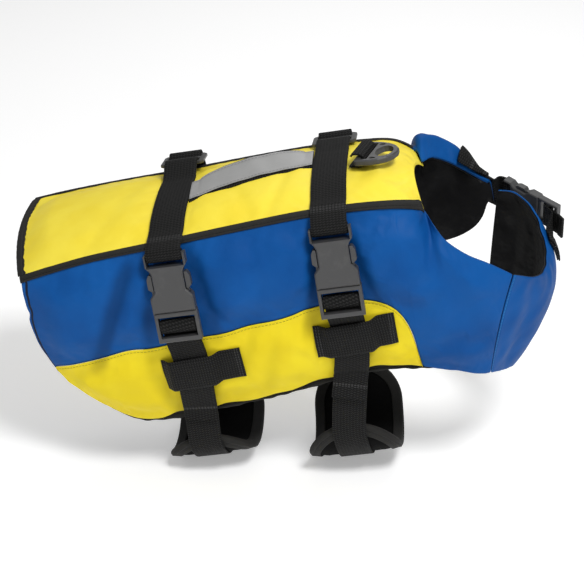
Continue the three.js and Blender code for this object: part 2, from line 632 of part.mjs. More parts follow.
// Side-release buckle: its outline down from the top bar, at y = 0, with the catches in the waist
function buckleFemale() {
  const { half, thick, bar, slotEnd, collar, female } = BUCKLE;
  const rightSide = [
    [half - 0.6, 0], [half - 0.6, -8], [half - 3, -11], [half - 4, -13.5], [half - 4, -collar + 1.3],
    [half - 2.2, -collar - 0.8], [half, -collar - 3.6], [half, -female],
  ];
  const shape = polygon([...rightSide, ...rightSide.map(([x, y]) => [-x, y]).reverse()]);
  const slot = block(-WEB / 2 - 0.6, WEB / 2 + 0.6, -slotEnd, -bar, -1, thick + 1);
  const front = block(-WEB / 2 - 0.6, WEB / 2 + 0.6, -bar - 1, 1, 5.6, thick + 1);
  const rear = block(-WEB / 2 - 0.6, WEB / 2 + 0.6, -bar - 1, 1, -1, 2.2);
  const pocket = block(-13.6, 13.6, -female - 1, -collar + 1, 2.2, 6.8);
  return carve(plate(shape, thick, 0.9), [slot, front, rear, pocket]);
}
function buckleMale() {
  const { half, long, female, collar } = BUCKLE;
  const top = -female - CLEAR;
  const frame = polygon([[half + 0.4, top], [half + 0.4, -long], [-half - 0.4, -long], [-half - 0.4, top]]);
  const base = toManifold(plate(frame, 6.4, 0.7).translate(0, 0, 0.5))
    .subtract(toManifold(block(-WEB / 2 - 0.6, WEB / 2 + 0.6, -51.6, -46, -1, 9)))
    .subtract(toManifold(block(-WEB / 2 - 0.6, WEB / 2 + 0.6, -61.6, -55.6, -1, 9)))
    .subtract(toManifold(block(-WEB / 2 - 0.6, WEB / 2 + 0.6, -57, -50, 4.2, 9)));
  const arm = (sign) => {
    const [inner, outer] = [11.7, 13.2];
    const catchTip = polygon([
      [sign * inner, -collar + 1.6], [sign * inner, -14], [sign * (inner + 1.8), -13.9],
      [sign * 15.1, -17], [sign * 15.3, -24], [sign * outer, -collar + 1.6],
    ]);
    const stem = block(
      Math.min(sign * inner, sign * outer), Math.max(sign * inner, sign * outer),
      top - 1, -collar + 1.7, 2.7, 6.3,
    );
    return toManifold(plate(catchTip, 5.4, 0).translate(0, 0, 1.8)).add(toManifold(stem));
  };
  const tongue = toManifold(block(-4, 4, top - 1, -collar - 2, 2.9, 6.1));
  return fromManifold(base.add(arm(1)).add(arm(-1)).add(tongue));
}
function buckle(name, frame) {
  const matrix = matrixOf(frame);
  put(`${name}_socket`, 'plastic', buckleFemale().applyMatrix4(matrix));
  put(`${name}_plug`, 'plastic', buckleMale().applyMatrix4(matrix));
}
// The webbing loops of a buckle, as points of its frame: over its top bar, and round its plug's bar
const TOP_LOOP = [[1.5, 1.1], [-2.6, 1.1], [-4.4, 1.7], [-4.85, 3.9], [-4.2, 6.2], [-2.2, 6.9], [1.5, 6.8]];
const PLUG_LOOP = [
  [-66, -3.2], [-61, -3], [-57.6, -2.1], [-54, -1.2], [-51.3, -1], [-49.7, 0.6], [-49.7, 3.8],
  [-51.3, 5.6], [-54.4, 5.9], [-57, 4.9], [-58.4, 2.6], [-59.3, 0.4], [-61.4, -1.1], [-66, -1.3],
];

// The stiff frame of a buckle that lies on the near wall, clear of the cloth and its own webbing
function seatOnSide(x, topZ) {
  const marks = [0, 0.15, 0.3, 0.45, 0.6, 0.75, 0.85, 0.95, 1];
  const need = (t) => 1 + 3.9 * smooth((t - 0.6) / 0.3);
  const reach = BUCKLE.half / WEB * 2;
  const beside = (off, t) => sideSkin(-1, x + off * reach, topZ - BUCKLE.long * 0.985 * t, 0);
  const skin = (t) => beside(0, t);
  const [high, low] = [skin(0), skin(1)];
  const along = unit([0, high[1] - low[1] - need(0) + need(1), high[2] - low[2]]);
  const frame = frameOf(high, [1, 0, 0], along);
  const push = marks.reduce((most, t) => {
    const gaps = ACROSS.map((off) => dot(sub(beside(off, t), frame.origin), frame.n) + need(t));
    return Math.max(most, ...gaps);
  }, -100);
  return { ...frame, origin: add(frame.origin, frame.n, push) };
}

// A girth strap, its hardware and its belly pad
function padArc(girth, t) {
  const angle = Math.PI * (t - 0.5);
  const point = [PAD_REACH * Math.sin(angle), girth.padTop - girth.padDeep * Math.cos(angle)];
  const out = unit([0, Math.sin(angle) / PAD_REACH, -Math.cos(angle) / girth.padDeep]);
  return { point: [girth.belly, ...point], out };
}
function bellyPad(girth) {
  const columns = 24;
  const rows = 4;
  const at = (t) => padArc(girth, t).point;
  const fine = even(at, 0, 1, 240);
  const step = span(sub(at(fine[121]), at(fine[120])));
  const whole = 240 * step;
  // close columns at the rounded ends, wide ones under the belly
  const picks = Array.from({ length: columns + 1 }, (_, i) => Math.round(120 * (1 - Math.cos(Math.PI * i / columns))));
  const stations = picks.map((pick) => fine[pick]);
  const place = (i, j, sign) => {
    const gone = clamp(picks[i] * step, 0.9, whole - 0.9);
    const end = Math.min(1, Math.min(gone, whole - gone) / girth.padHalf);
    const half = girth.padHalf * Math.sqrt(1 - (1 - end) ** 2);
    const across = 2 * j / rows - 1;
    const { point, out } = padArc(girth, stations[i]);
    const inside = Math.min(half * (1 - Math.abs(across)), gone, whole - gone);
    const thick = PAD_EDGE + (PAD_THICK - PAD_EDGE) * smooth(inside / (2 * PAD_BIND));
    return add(add(point, [1, 0, 0], across * half), out, sign * thick / 2);
  };
  put(`belly_pad_${girth.name}`, 'pad', wall(
    columns, rows, (i, j) => place(i, j, 1), (i, j) => place(i, j, -1),
  ));
}
function sliderFrame(girth) {
  const tilt = radians(SLIDER.tilt);
  return frameOf([girth.slider, SLIDER.y, SLIDER.rise], [-1, 0, 0], [0, Math.cos(tilt), -Math.sin(tilt)]);
}
function slider(girth) {
  const { half, long, thick, bar } = SLIDER;
  const shape = polygon([
    [half - 2.5, -long / 2], [half, -long / 2 + 2.5], [half, long / 2 - 2.5], [half - 2.5, long / 2],
    [-half + 2.5, long / 2], [-half, long / 2 - 2.5], [-half, -long / 2 + 2.5], [-half + 2.5, -long / 2],
  ]);
  const gap = (long - 3 * bar) / 2;
  const slots = [-1, 1].map((sign) => block(
    -WEB / 2 - 0.6, WEB / 2 + 0.6, Math.min(sign * bar / 2, sign * (bar / 2 + gap)),
    Math.max(sign * bar / 2, sign * (bar / 2 + gap)), -2, thick + 2,
  ));
  put(`slider_${girth.name}`, 'plastic', carve(plate(shape, thick, 0.5), slots)
    .applyMatrix4(matrixOf(sliderFrame(girth))));
}
function girthSet(girth) {
  const frame = seatOnSide(girth.x, girth.buckle);
  buckle(`buckle_${girth.name}`, frame);
  slider(girth);
  bellyPad(girth);
  const middle = WEB_THICK / 2;
  const inside = (points) => points.map(([y, z]) => inFrame(frame, 0, y, z));
  const upper = inside(TOP_LOOP);
  [-0.95, -0.8, -0.6, -0.4, -0.2, 0, 0.2, 0.34].forEach((w) => {
    upper.push(strapOn(backSkin, girth.x, w, STRAP_GAP + middle));
  });
  const slide = sliderFrame(girth);
  const { long, bar, thick } = SLIDER;
  const under = -CLEAR - middle - 0.3;
  const over = thick + CLEAR + middle;
  [[-long / 2, under], [-long / 2 + bar + 0.4, under], [-bar / 2 - 0.6, over], [bar / 2 + 0.6, over],
    [long / 2 - bar - 0.4, under], [long / 2, under - 0.2]].forEach(([y, z]) => {
    upper.push(inFrame(slide, girth.slider - girth.x, y, z));
  });
  const farSide = (x, z, distance) => sideSkin(1, x, z, distance);
  [-22, -36, -50, -64, -76, -88, -98.5].forEach((z) => {
    upper.push(strapOn(farSide, girth.x, z, STRAP_GAP + middle));
  });
  put(`girth_strap_${girth.name}_upper`, 'web', ribbon(upper, [1, 0, 0], WEB, WEB_THICK));

  const drift = (z) => girth.x + (girth.belly - girth.x) * smooth((-z - 90) / 90);
  const beside = (side, z, distance) => strapOn(
    (x, height, rise) => sideSkin(side, x, height, rise), drift(z), z, distance,
  );
  const hemZ = sidePoint(-1, locate(-1, girth.x, -140)[0], 1)[2];
  const pad = (t) => {
    const { point, out } = padArc(girth, t);
    return add(point, out, PAD_THICK / 2 + 0.5 + middle);
  };
  const belly = [-100.5, -112, -124, hemZ + 3].map((z) => beside(1, z, STRAP_GAP + 0.5 + middle));
  [0.97, 0.86, 0.74, 0.62, 0.5, 0.38, 0.26, 0.14, 0.03].forEach((t) => belly.push(pad(t)));
  belly.push(beside(-1, hemZ + 1, STRAP_GAP + 0.5 + middle));
  put(`girth_strap_${girth.name}_belly`, 'web', ribbon(belly, [1, 0, 0], WEB, WEB_THICK));

  const second = STRAP_GAP + WEB_THICK + CLEAR;
  const keeperLow = girth.keeperZ - KEEPER_HIGH / 2;
  const down = [keeperLow + KEEPER_HIGH, girth.keeperZ, keeperLow, (keeperLow + hemZ) / 2, hemZ + 5];
  const near = down.map((z) => beside(-1, z, STRAP_GAP + middle)).reverse();
  near.push(...inside(PLUG_LOOP));
  near.push(...down.map((z) => beside(-1, z, second + middle)));
  near.push(add(near[near.length - 1], [drift(girth.tail) - drift(hemZ + 5), 0.6, girth.tail - hemZ - 5]));
  put(`girth_strap_${girth.name}_near`, 'web', ribbon(near, [1, 0, 0], WEB, WEB_THICK));

  keeper(`keeper_${girth.name}_near`, -1, girth, drift, STRAP_GAP + 2 * (WEB_THICK + CLEAR));
  keeper(`keeper_${girth.name}_far`, 1, girth, drift, STRAP_GAP + WEB_THICK + 2 * CLEAR);
}
// Webbing sewn across a strap: flat on the panel at its ends and raised over the strap
function keeper(name, side, girth, drift, over) {
  const [columns, rows] = [14, 2];
  const skin = (x, z, rise) => sideSkin(side, x, z, rise);
  const place = (i, j, thick) => {
    const x = girth.keeper + KEEPER_LONG * (i / columns - 0.5);
    const z = girth.keeperZ + KEEPER_HIGH * (0.5 - j / rows) + 0.05 * (x - girth.keeper);
    const strapX = drift(z);
    const bump = 1 - smooth((Math.abs(x - strapX) - WEB / 2 - 2) / 7);
    const raised = add(strapOn(skin, strapX, z, over + thick), [x - strapX, 0, 0]);
    return mix(skin(x, z, 0.6 + thick), raised, bump);
  };
  put(name, 'web', wall(columns, rows, (i, j) => place(i, j, WEB_THICK), (i, j) => place(i, j, 0)));
}

// The lifting handle and the reflective tape on it
function handleStrip(name, colour, half, low, thick) {
  const steps = 16;
  const place = (i, j, layer) => {
    const t = i / steps;
    const x = HANDLE.from + (HANDLE.to - HANDLE.from) * t;
    const middle = HANDLE.rear + (HANDLE.front - HANDLE.rear) * t;
    const across = half * (j - 1);
    const y = middle + across;
    const flat = Math.max(0, Math.sin(Math.PI * clamp((t - 0.07) / 0.86, 0, 1)));
    const bow = HANDLE.bow * flat ** 0.7;
    const [rearTwist, frontTwist] = HANDLE.twist;
    const twist = radians(rearTwist + (frontTwist - rearTwist) * t) * flat ** 0.6 * across;
    const skin = backSkin(x, y / HALF_BACK, 0);
    const crown = backSkin(x, middle / HALF_BACK, 0);
    const level = crown[2] + (skin[2] - crown[2]) * (1 - flat * 0.6);
    return [x, y, level + 0.6 + bow + twist + layer];
  };
  put(name, colour, wall(steps, 2, (i, j) => place(i, j, low + thick), (i, j) => place(i, j, low)));
}

// The ring swings on its bar, which lies in a loop of webbing that comes from under the front strap
function ringFrame() {
  const seat = backSkin(RING.x, RING.y / HALF_BACK, RING.loop + WEB_THICK / 2 + 0.6);
  const yaw = radians(RING.yaw);
  const ahead = sub(
    backSkin(RING.x + 8, RING.y / HALF_BACK, 0), backSkin(RING.x - 8, RING.y / HALF_BACK, 0),
  );
  const forward = unit([Math.cos(yaw), Math.sin(yaw), Math.cos(yaw) * ahead[2] / ahead[0]]);
  const bar = unit([-Math.sin(yaw), Math.cos(yaw), 0]);
  return { origin: seat, a: forward, b: bar, n: unit(cross(forward, bar)) };
}
function ring() {
  const { half, long, thick, barHalf } = RING;
  const shape = new THREE.Shape();
  shape.moveTo(-barHalf, -half + 2);
  shape.lineTo(-barHalf, half - 2);
  shape.quadraticCurveTo(-barHalf, half, 1, half);
  shape.bezierCurveTo(14, half, long - barHalf, 11, long - barHalf, 0);
  shape.bezierCurveTo(long - barHalf, -11, 14, -half, 1, -half);
  shape.quadraticCurveTo(-barHalf, -half, -barHalf, -half + 2);
  const hole = (x, y, across, high) => {
    const bore = new THREE.CylinderGeometry(1, 1, 3 * thick, 14);
    return bore.rotateX(Math.PI / 2).scale(across, high, 1).translate(x, y, 0);
  };
  const holes = [hole(15.6, 0, 6.4, 8.8), hole(10.4, 11.6, 2.4, 1.4), hole(10.4, -11.6, 2.4, 1.4)];
  const body = plate(shape, thick, 0.8).translate(0, 0, -thick / 2);
  const slot = block(barHalf, 6.9, -WEB / 2 - 1.2, WEB / 2 + 1.2, -thick, thick);
  put('d_ring', 'plastic', carve(body, [slot, ...holes]).applyMatrix4(matrixOf(ringFrame())));
}
function ringLoop() {
  const frame = ringFrame();
  const r = RING.loop;
  const turn = [-80, -45, 0, 45, 80].map((a) => [r * Math.cos(radians(a)), r * Math.sin(radians(a))]);
  const reach = frame.origin[0] - LOOP_START - (WEB - 1) / 2 * Math.sin(radians(-RING.yaw));
  const profile = [[-reach + 0.6, -r], [-reach / 2, -r], ...turn, [-reach / 2, r - 0.4], [-reach + 3, r - 1.6]];
  const points = profile.map(([x, z]) => inFrame(frame, x, 0, z));
  put('ring_loop', 'web', ribbon(points, frame.b.map((v) => -v), WEB - 1, WEB_THICK));
}

const NECK = {
  down: 12.5, rib: 90, web: 19, scale: 0.78, from: 5.35, to: 4.05, seat: 3.4,
};
// The neck closure on the far side: a strap from the flap to a buckle on the chest piece. Its webbing is
// 20 mm, and its buckle that much smaller than the girth buckles. It lies just below the neck edge.
function neckClosure() {
  const flapAt = (x, z, distance) => sideSkin(1, x, z, distance, leftEdge);
  const chestSkin = (down, u, rise) => {
    const v = down / NECK.rib;
    const normal = normalOf((du, dv) => chestPoint(u + du, v + dv), -1);
    return add(chestPoint(u, v), normal, rise);
  };
  const [start, end] = [chestSkin(NECK.down, NECK.from, 0), chestSkin(NECK.down, NECK.to, 0)];
  const flat = frameOf(mix(start, end, 0.5), cross(sub(start, end), sub(
    chestSkin(NECK.down, (NECK.from + NECK.to) / 2, 1), chestSkin(NECK.down, (NECK.from + NECK.to) / 2, 0),
  )), sub(start, end));
  const marks = [0, 0.1, 0.2, 0.3, 0.4, 0.5, 0.6, 0.7, 0.8, 0.9, 1];
  const push = marks.reduce((most, t) => {
    const p = [-NECK.web / 2, 0, NECK.web / 2].map((side) => (
      chestSkin(Math.max(0, NECK.down + side), NECK.from + (NECK.to - NECK.from) * t, 0)));
    return Math.max(most, ...p.map((q) => dot(sub(q, flat.origin), flat.n)));
  }, -100);
  const origin = add(add(flat.origin, flat.n, push + NECK.seat), flat.b, BUCKLE.long * NECK.scale / 2);
  const frame = { ...flat, origin };
  const small = matrixOf(frame).scale(new THREE.Vector3(NECK.scale, NECK.scale, NECK.scale));
  put('neck_buckle_socket', 'plastic', buckleFemale().applyMatrix4(small));
  put('neck_buckle_plug', 'plastic', buckleMale().applyMatrix4(small));
  const inSmall = ([y, z]) => inFrame(frame, 0, y * NECK.scale, z * NECK.scale);
  const thick = WEB_THICK * NECK.scale;
  const strap = [...TOP_LOOP, [6, 5.4]].map(inSmall);
  const onFlap = (distance) => ([x, z]) => strapOn(flapAt, x, z, distance + thick / 2);
  strap.push(...[[163, -58], [156, -54], [149, -50], [143, -46.5]].map(onFlap(STRAP_GAP)));
  put('neck_strap', 'web', ribbon(strap, frame.a, NECK.web, thick));
  const patch = [[158, -55.2], [153, -52.3], [148, -49.4], [143, -46.5]].map(
    onFlap(STRAP_GAP + thick + 2 * CLEAR));
  put('neck_patch', 'web', ribbon(patch, frame.a, NECK.web + 3, thick));

  const onChest = (u, distance) => strapOn(chestSkin, NECK.down, u, distance + thick / 2);
  const acrossChest = (u) => unit(sub(
    chestSkin(NECK.down + NECK.web / 2, u, 0), chestSkin(NECK.down - NECK.web / 2, u, 0),
  ));
  const inner = [2.75, 3.05, 3.35];
  const outer = [3.33, 3.1, 2.85, 2.6];
  const loop = [...PLUG_LOOP.slice(1, -1), [-65.5, -2.4]].map(inSmall);
  put('neck_strap_front', 'web', ribbon(
    [...inner.map((u) => onChest(u, STRAP_GAP)), ...loop,
      ...outer.map((u) => onChest(u, STRAP_GAP + thick + CLEAR))],
    [...inner.map(acrossChest), ...loop.map(() => frame.a), ...outer.map(acrossChest)],
    NECK.web, thick,
  ));
  const tab = [3.2, 3.12, 3.04, 2.96];
  put('neck_tab', 'web', ribbon(
    tab.map((u) => onChest(u, STRAP_GAP + 2 * thick + 4 * CLEAR)), tab.map(acrossChest), NECK.web + 4, thick,
  ));
}

backPanel();
sidePanel('side_panel_right', -1, rightEdge);
sidePanel('side_panel_left', 1, leftEdge);
lowerPanel('lower_panel_right', -1);
lowerPanel('lower_panel_left', 1);
chestLayer('chest_panel', 'blue', 0, -CLOTH);
chestLayer('chest_lining', 'lining', -CLOTH - 0.3, -CLOTH - 0.3 - LINING);
flapLining();
seamTape('seam_tape_right', -1);
seamTape('seam_tape_left', 1);
rearBinding();
hemFacing('hem_facing_right', -1, 13.9);
hemFacing('hem_facing_left', 1, 7.1);
GIRTHS.forEach(girthSet);
handleStrip('handle', 'web', HANDLE.half, 0, WEB_THICK);
handleStrip('handle_tape', 'reflective', HANDLE.tape, WEB_THICK + 0.3, HANDLE.tapeThick);
ring();
ringLoop();
neckClosure();

// The part's origin is on the inner face of the back panel, where the wearer's back carries it
const hold = new THREE.Vector3(...lift(backPoint(HOLD, 0), -WALL));
vest.rotation.y = -radians(PITCH);
hold.applyAxisAngle(new THREE.Vector3(0, 1, 0), vest.rotation.y);
vest.position.copy(hold.negate());

export default vest;
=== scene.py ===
"""The finished look of the dog life jacket: panels, straps, pads and trim as fine surfaces on the frame.

Shapes are worked out in millimetres of the level garment, with +X to the head, +Y to the far side and +Z
up, on the same base surfaces as the solids. They are turned nose up when a mesh is made.
"""
import math

import bpy
import numpy as np
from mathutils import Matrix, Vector


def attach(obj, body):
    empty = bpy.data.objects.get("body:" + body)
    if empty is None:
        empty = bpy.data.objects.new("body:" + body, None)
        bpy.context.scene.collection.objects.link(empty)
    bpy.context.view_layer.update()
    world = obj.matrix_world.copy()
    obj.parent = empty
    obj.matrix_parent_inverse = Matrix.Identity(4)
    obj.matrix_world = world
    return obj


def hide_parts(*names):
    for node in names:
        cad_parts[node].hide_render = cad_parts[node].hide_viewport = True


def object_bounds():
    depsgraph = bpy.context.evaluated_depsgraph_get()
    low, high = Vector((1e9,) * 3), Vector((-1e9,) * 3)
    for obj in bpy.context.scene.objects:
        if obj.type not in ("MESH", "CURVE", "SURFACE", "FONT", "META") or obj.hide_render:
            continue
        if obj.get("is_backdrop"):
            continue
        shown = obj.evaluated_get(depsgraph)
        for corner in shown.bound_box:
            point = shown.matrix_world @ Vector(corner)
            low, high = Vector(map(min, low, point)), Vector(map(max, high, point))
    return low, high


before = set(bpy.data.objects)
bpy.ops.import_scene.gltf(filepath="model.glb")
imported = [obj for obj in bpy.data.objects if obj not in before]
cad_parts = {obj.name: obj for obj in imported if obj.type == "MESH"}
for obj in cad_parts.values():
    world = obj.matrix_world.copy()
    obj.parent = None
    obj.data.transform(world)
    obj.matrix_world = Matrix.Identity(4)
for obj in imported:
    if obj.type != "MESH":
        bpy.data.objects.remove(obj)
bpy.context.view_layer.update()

# Driving sizes, in millimetres and degrees
PITCH = 10
ORIGIN_SHIFT = np.array([1.1365, 0, -3.4511])
WEB, WEB_THICK = 25, 1.5
CLEAR = 0.4
STRAP_GAP = 1
WALL = 3
BACK_PUFF, SIDE_PUFF, LOWER_PUFF = 4.5, 5, 3.5
SEAM_FLAT = 4.6
TAPE_HALF, TAPE_THICK = 4, 1.1
CLOTH, LINING = 1.6, 1.2
NEAR, FAR = -1, 1

# Ribs of the side wall from the tail to the chest seam: top seam, two points below it, hem
RIBS = [
    [[-168, 64, -17], [-170, 64, -46], [-168, 61, -75], [-156, 54, -111]],
    [[-146, 66, -12], [-148, 68, -50], [-146, 64, -90], [-137, 51, -133]],
    [[-112, 66, -7], [-113, 70, -50], [-112, 65, -100], [-108, 50, -151]],
    [[-60, 65, -3], [-60, 70, -49], [-60, 66, -98], [-60, 50, -148]],
    [[-10, 63, 0.5], [-10, 69, -47], [-10, 65, -95], [-10, 50, -143]],
    [[35, 61, 3], [35, 68, -42], [35, 65, -88], [35, 51, -134]],
    [[70, 60, 3], [70, 67, -41], [70, 64, -86], [70, 52, -129]],
    [[97, 58, 0.5], [98, 66, -43], [98, 64, -88], [98, 53, -131]],
    [[113, 50, -6], [113, 65, -46], [113, 63, -91], [113, 53, -135]],
    [[118, 40, -14], [120, 63, -49], [120, 62, -93], [120, 53, -137]],
]
SHOULDER_RIBS = [
    [[123.5, 56, -18.5], [128, 64, -54], [127.5, 61.5, -97], [126, 52.5, -138.5]],
    [[131, 62, -30], [137, 64, -64], [135, 61, -103], [132, 52, -141]],
    [[144, 63, -42], [146, 63.5, -74], [142, 60, -108], [138, 51, -143.5]],
    [[158, 61, -51.5], [155, 61, -82], [149, 57.5, -113], [143.5, 49, -145.5]],
    [[173.5, 57, -64], [163.5, 57.5, -90], [155.5, 53.5, -117], [148.5, 46, -147]],
]
# The far side is further back and higher at the tail, and its shoulder is a free flap
FAR_RIBS = [
    [[-184, 64, -10], [-184, 65, -42], [-180, 61, -73], [-166, 54, -110]],
    [[-156, 66, -8], [-157, 68, -47], [-153, 64, -88], [-142, 51, -132]],
    [[-114, 66, -5.5], [-115, 70, -49], [-113, 65, -99], [-109, 50, -150.5]],
]
FLAP_RIBS = [
    [[126, 54, -18], [130, 64, -54], [131, 61, -96], [131, 52, -138]],
    [[137, 62, -27], [141, 65, -61], [142, 61, -100], [142, 51, -141]],
    [[150, 64, -37], [154, 64, -69], [155, 60, -105], [153, 49, -144]],
    [[164, 63, -46], [167, 62, -78], [166, 57, -112], [162, 47, -147]],
]
# The back's middle line beside the first ten ribs: its place, and its rise above them
BACK = [
    [-181, 4.5], [-154, 5], [-113, 5.5], [-60, 5.5], [-10, 5.5],
    [35, 5.5], [70, 6], [94, 7.5], [107, 11], [113, 15],
]
CHEST = [
    [[173.5, -57, -64], [163.5, -57.5, -90], [155.5, -53.5, -117], [148.5, -46, -147]],
    [[188, -39, -77], [185, -38, -102], [172, -34, -131], [158, -29, -156]],
    [[197, -13, -85], [199, -12, -109], [186, -11, -138], [166, -10, -163]],
    [[200, 16, -78], [204, 17, -102], [190, 16, -132], [169, 13, -162]],
    [[193, 40, -59], [196, 41, -87], [184, 39, -120], [165, 33, -153]],
    [[182, 54, -52], [183, 56, -79], [174, 54, -109], [159, 47, -144]],
    [[170, 60, -51], [164, 60, -77], [158, 58, -104], [151, 53, -137]],
]
# The lower panel's turned top edge, and the flap's free lower edge: how far forward, how high
LOWER_SEAM = [
    [-166, -93.6], [-148, -90.5], [-125, -86.3], [-104, -82], [-90, -82.3], [-79, -81.4], [-52, -78],
    [-32, -77], [-14, -73.4], [4, -72.2], [18, -69.6], [30, -66],
    [55, -63.5], [76, -67], [90, -77], [97.5, -95], [100.6, -123],
]
FLAP_EDGE = [
    [104, -91], [118, -89], [130, -87], [141, -84], [150, -79], [157, -71], [162, -60],
]
FLAP_SPLIT = -90
HEM_CORNER = [101.3, -131.5]
# Where the hem is drawn up: place forward, height, half width
HEM_TUCKS = [[-82, 4.2, 8], [-44, 2.6, 9], [-8, 1.2, 8], [24, 3, 12], [68, 3.2, 12], [92, 1.5, 9]]
# Soft folds of the sides: place, lean (forward for each mm up), depth, half width, stretch of the rib
FOLDS = [
    [-156, 0.1, 1.6, 7, 0.2, 0.9], [-117, 0.5, 5, 8, 0.08, 0.66], [-103, 0.5, -2, 7, 0.12, 0.6],
    [-86, 0.12, 3.6, 6, 0.3, 0.52], [-60, 0, 3.2, 19, 0, 1], [-36, -0.12, 3.4, 6, 0.1, 0.55],
    [-25, 0.2, -1.6, 8, 0.1, 0.6], [-8, 0.4, 1.6, 8, 0.25, 0.7], [32, 0.34, 4.8, 7, 0.02, 0.62],
    [18, 0.34, -1.8, 7, 0.05, 0.6], [54, 0, 3.2, 19, 0, 1], [82, -0.42, 3.8, 7, 0.1, 0.55],
    [-126, 0.6, 1.8, 8, 0.7, 0.98], [-96, -0.2, 2.4, 8, 0.66, 1], [-22, 0.15, 1.4, 10, 0.6, 1],
    [8, 0.3, 2, 8, 0.6, 0.98], [24, -0.3, -1, 8, 0.7, 1], [140, -0.3, 1.6, 13, 0.3, 0.9],
]
# Folds of the chest piece: place among its ribs, depth, half width, stretch of the rib
CHEST_FOLDS = [
    [0.9, 2.6, 0.25, 0.1, 0.9], [0.45, -1.2, 0.2, 0.2, 0.8], [2.1, 1.8, 0.3, 0.4, 1],
    [3.3, 1.8, 0.3, 0.25, 0.95], [4.6, 1.2, 0.3, 0, 0.7],
]
# The girth straps: where each crosses the back, hangs at the belly and is held, and its pad
GIRTHS = {
    "rear": dict(x=-60, belly=-68, buckle=-6.5, keeper=-53, keeper_z=-103, slider=-60,
                 half=33, top=-172, deep=30, tail=-151),
    "front": dict(x=55, belly=40, buckle=-4.5, keeper=59, keeper_z=-91, slider=55,
                  half=34, top=-176, deep=43, tail=-146),
}
KEEPER_LONG, KEEPER_HIGH = 58, 26
PAD_REACH, PAD_EDGE, PAD_THICK, PAD_BIND = 47, 3.4, 6.4, 7
BUCKLE_LONG, BUCKLE_HALF = 65, 15
SLIDER = dict(y=54, rise=10.2, tilt=8, long=24, thick=2.6, bar=3.4)
HANDLE = dict(start=-47, end=42, rear=-7, front=11, half=13.5, bow=3.2, tape=11.5, tape_thick=0.5, twist=(15, 15))
RING = dict(x=80, y=-5, yaw=-18, loop=4.7, start=68)
HALF_BACK = 61
NECK = dict(down=12.5, rib=90, web=19, scale=0.78, start=5.35, end=4.05, seat=3.4)
TOP_LOOP = [[1.5, 1.1], [-2.6, 1.1], [-4.4, 1.7], [-4.85, 3.9], [-4.2, 6.2], [-2.2, 6.9], [1.5, 6.8]]
PLUG_LOOP = [
    [-66, -3.2], [-61, -3], [-57.6, -2.1], [-54, -1.2], [-51.3, -1], [-49.7, 0.6], [-49.7, 3.8],
    [-51.3, 5.6], [-54.4, 5.9], [-57, 4.9], [-58.4, 2.6], [-59.3, 0.4], [-61.4, -1.1], [-66, -1.3],
]


# Small maths on arrays of points
def unit(vectors):
    return vectors / np.linalg.norm(vectors, axis=-1, keepdims=True)


def smooth(t):
    t = np.clip(t, 0, 1)
    return t * t * (3 - 2 * t)


def through(rows, t):
    """A smooth cubic through the rows (Catmull-Rom), read at t from 0 to the last row."""
    rows, t = np.asarray(rows, float), np.asarray(t, float)
    last = len(rows) - 1
    k = np.clip(np.floor(t).astype(int), 0, last - 1)
    ends = np.concatenate([[2 * rows[0] - rows[1]], rows, [2 * rows[-1] - rows[-2]]])
    f = (t - k).reshape(t.shape + (1,) * (rows.ndim - 1))
    a, b, c, d = (ends[k + i] for i in range(4))
    return b + 0.5 * f * (c - a + f * (2 * a - 5 * b + 4 * c - d + f * (3 * (b - c) + d - a)))


def rib_point(ribs, u, v):
    """The cubic through a rib's four points, at 0, 1/3, 2/3 and 1 of its way down."""
    u, v = np.broadcast_arrays(np.asarray(u, float), np.asarray(v, float))
    third, two = v - 1 / 3, v - 2 / 3
    weights = np.stack([
        -4.5 * third * two * (v - 1), 13.5 * v * two * (v - 1), -13.5 * v * third * (v - 1), 4.5 * v * third * two,
    ], -1)
    return (through(ribs, u) * weights[..., None]).sum(-2)


WALLS = {
    NEAR: np.array(RIBS + SHOULDER_RIBS, float),
    FAR: np.array(FAR_RIBS + RIBS[3:] + FLAP_RIBS, float),
}
LAST = {NEAR: 14, FAR: 13}


def side_point(side, u, v):
    return rib_point(WALLS[side], u, v) * [1, side, 1]


def chest_point(u, v):
    return rib_point(CHEST, u, v)


def back_point(u, w):
    """Between the two top seams: a parabola across, w from -1 at the near seam to 1 at the far one."""
    u, w = np.broadcast_arrays(np.asarray(u, float), np.asarray(w, float))
    near, far = through(WALLS[NEAR][:, 0], u), through(WALLS[FAR][:, 0], u)
    spine, arch = np.moveaxis(through(BACK, u), -1, 0)
    seam, skew = (near + far) / 2, (far - near) / 2 * w[..., None]
    return np.stack([
        spine + (seam[..., 0] - spine) * w * w + skew[..., 0], seam[..., 1] * w,
        seam[..., 2] + skew[..., 2] + arch * (1 - w * w),
    ], -1)


def lift(points, distance):
    """Away from an upright line inside the body by a distance, so that layers never cross."""
    axis = np.stack([
        np.minimum(points[..., 0], 150), 0 * points[..., 0], np.clip(points[..., 2], -110, -35),
    ], -1)
    return points + unit(points - axis) * np.asarray(distance)[..., None]


def rib_length(side, u):
    points = side_point(side, np.asarray(u, float)[..., None], np.linspace(0, 1, 4))
    return np.linalg.norm(np.diff(points, axis=-2), axis=-1).sum(-1)


def locate(side, x, z):
    """The place on a side wall at a given distance forward and height, by Newton's steps."""
    x, z = np.broadcast_arrays(np.asarray(x, float), np.asarray(z, float))
    ribs = WALLS[side]
    u = np.interp(x, ribs[:, 1, 0], np.arange(len(ribs)))
    v = np.full_like(u, 0.5)
    step = 1e-3
    for _ in range(25):
        p = side_point(side, u, v)
        pu = (side_point(side, u + step, v) - p) / step
        pv = (side_point(side, u, v + step) - p) / step
        det = pu[..., 0] * pv[..., 2] - pv[..., 0] * pu[..., 2]
        dx, dz = x - p[..., 0], z - p[..., 2]
        u = u + np.clip((dx * pv[..., 2] - dz * pv[..., 0]) / det, -1, 1)
        v = v + np.clip((dz * pu[..., 0] - dx * pu[..., 2]) / det, -0.3, 0.3)
    return u, v


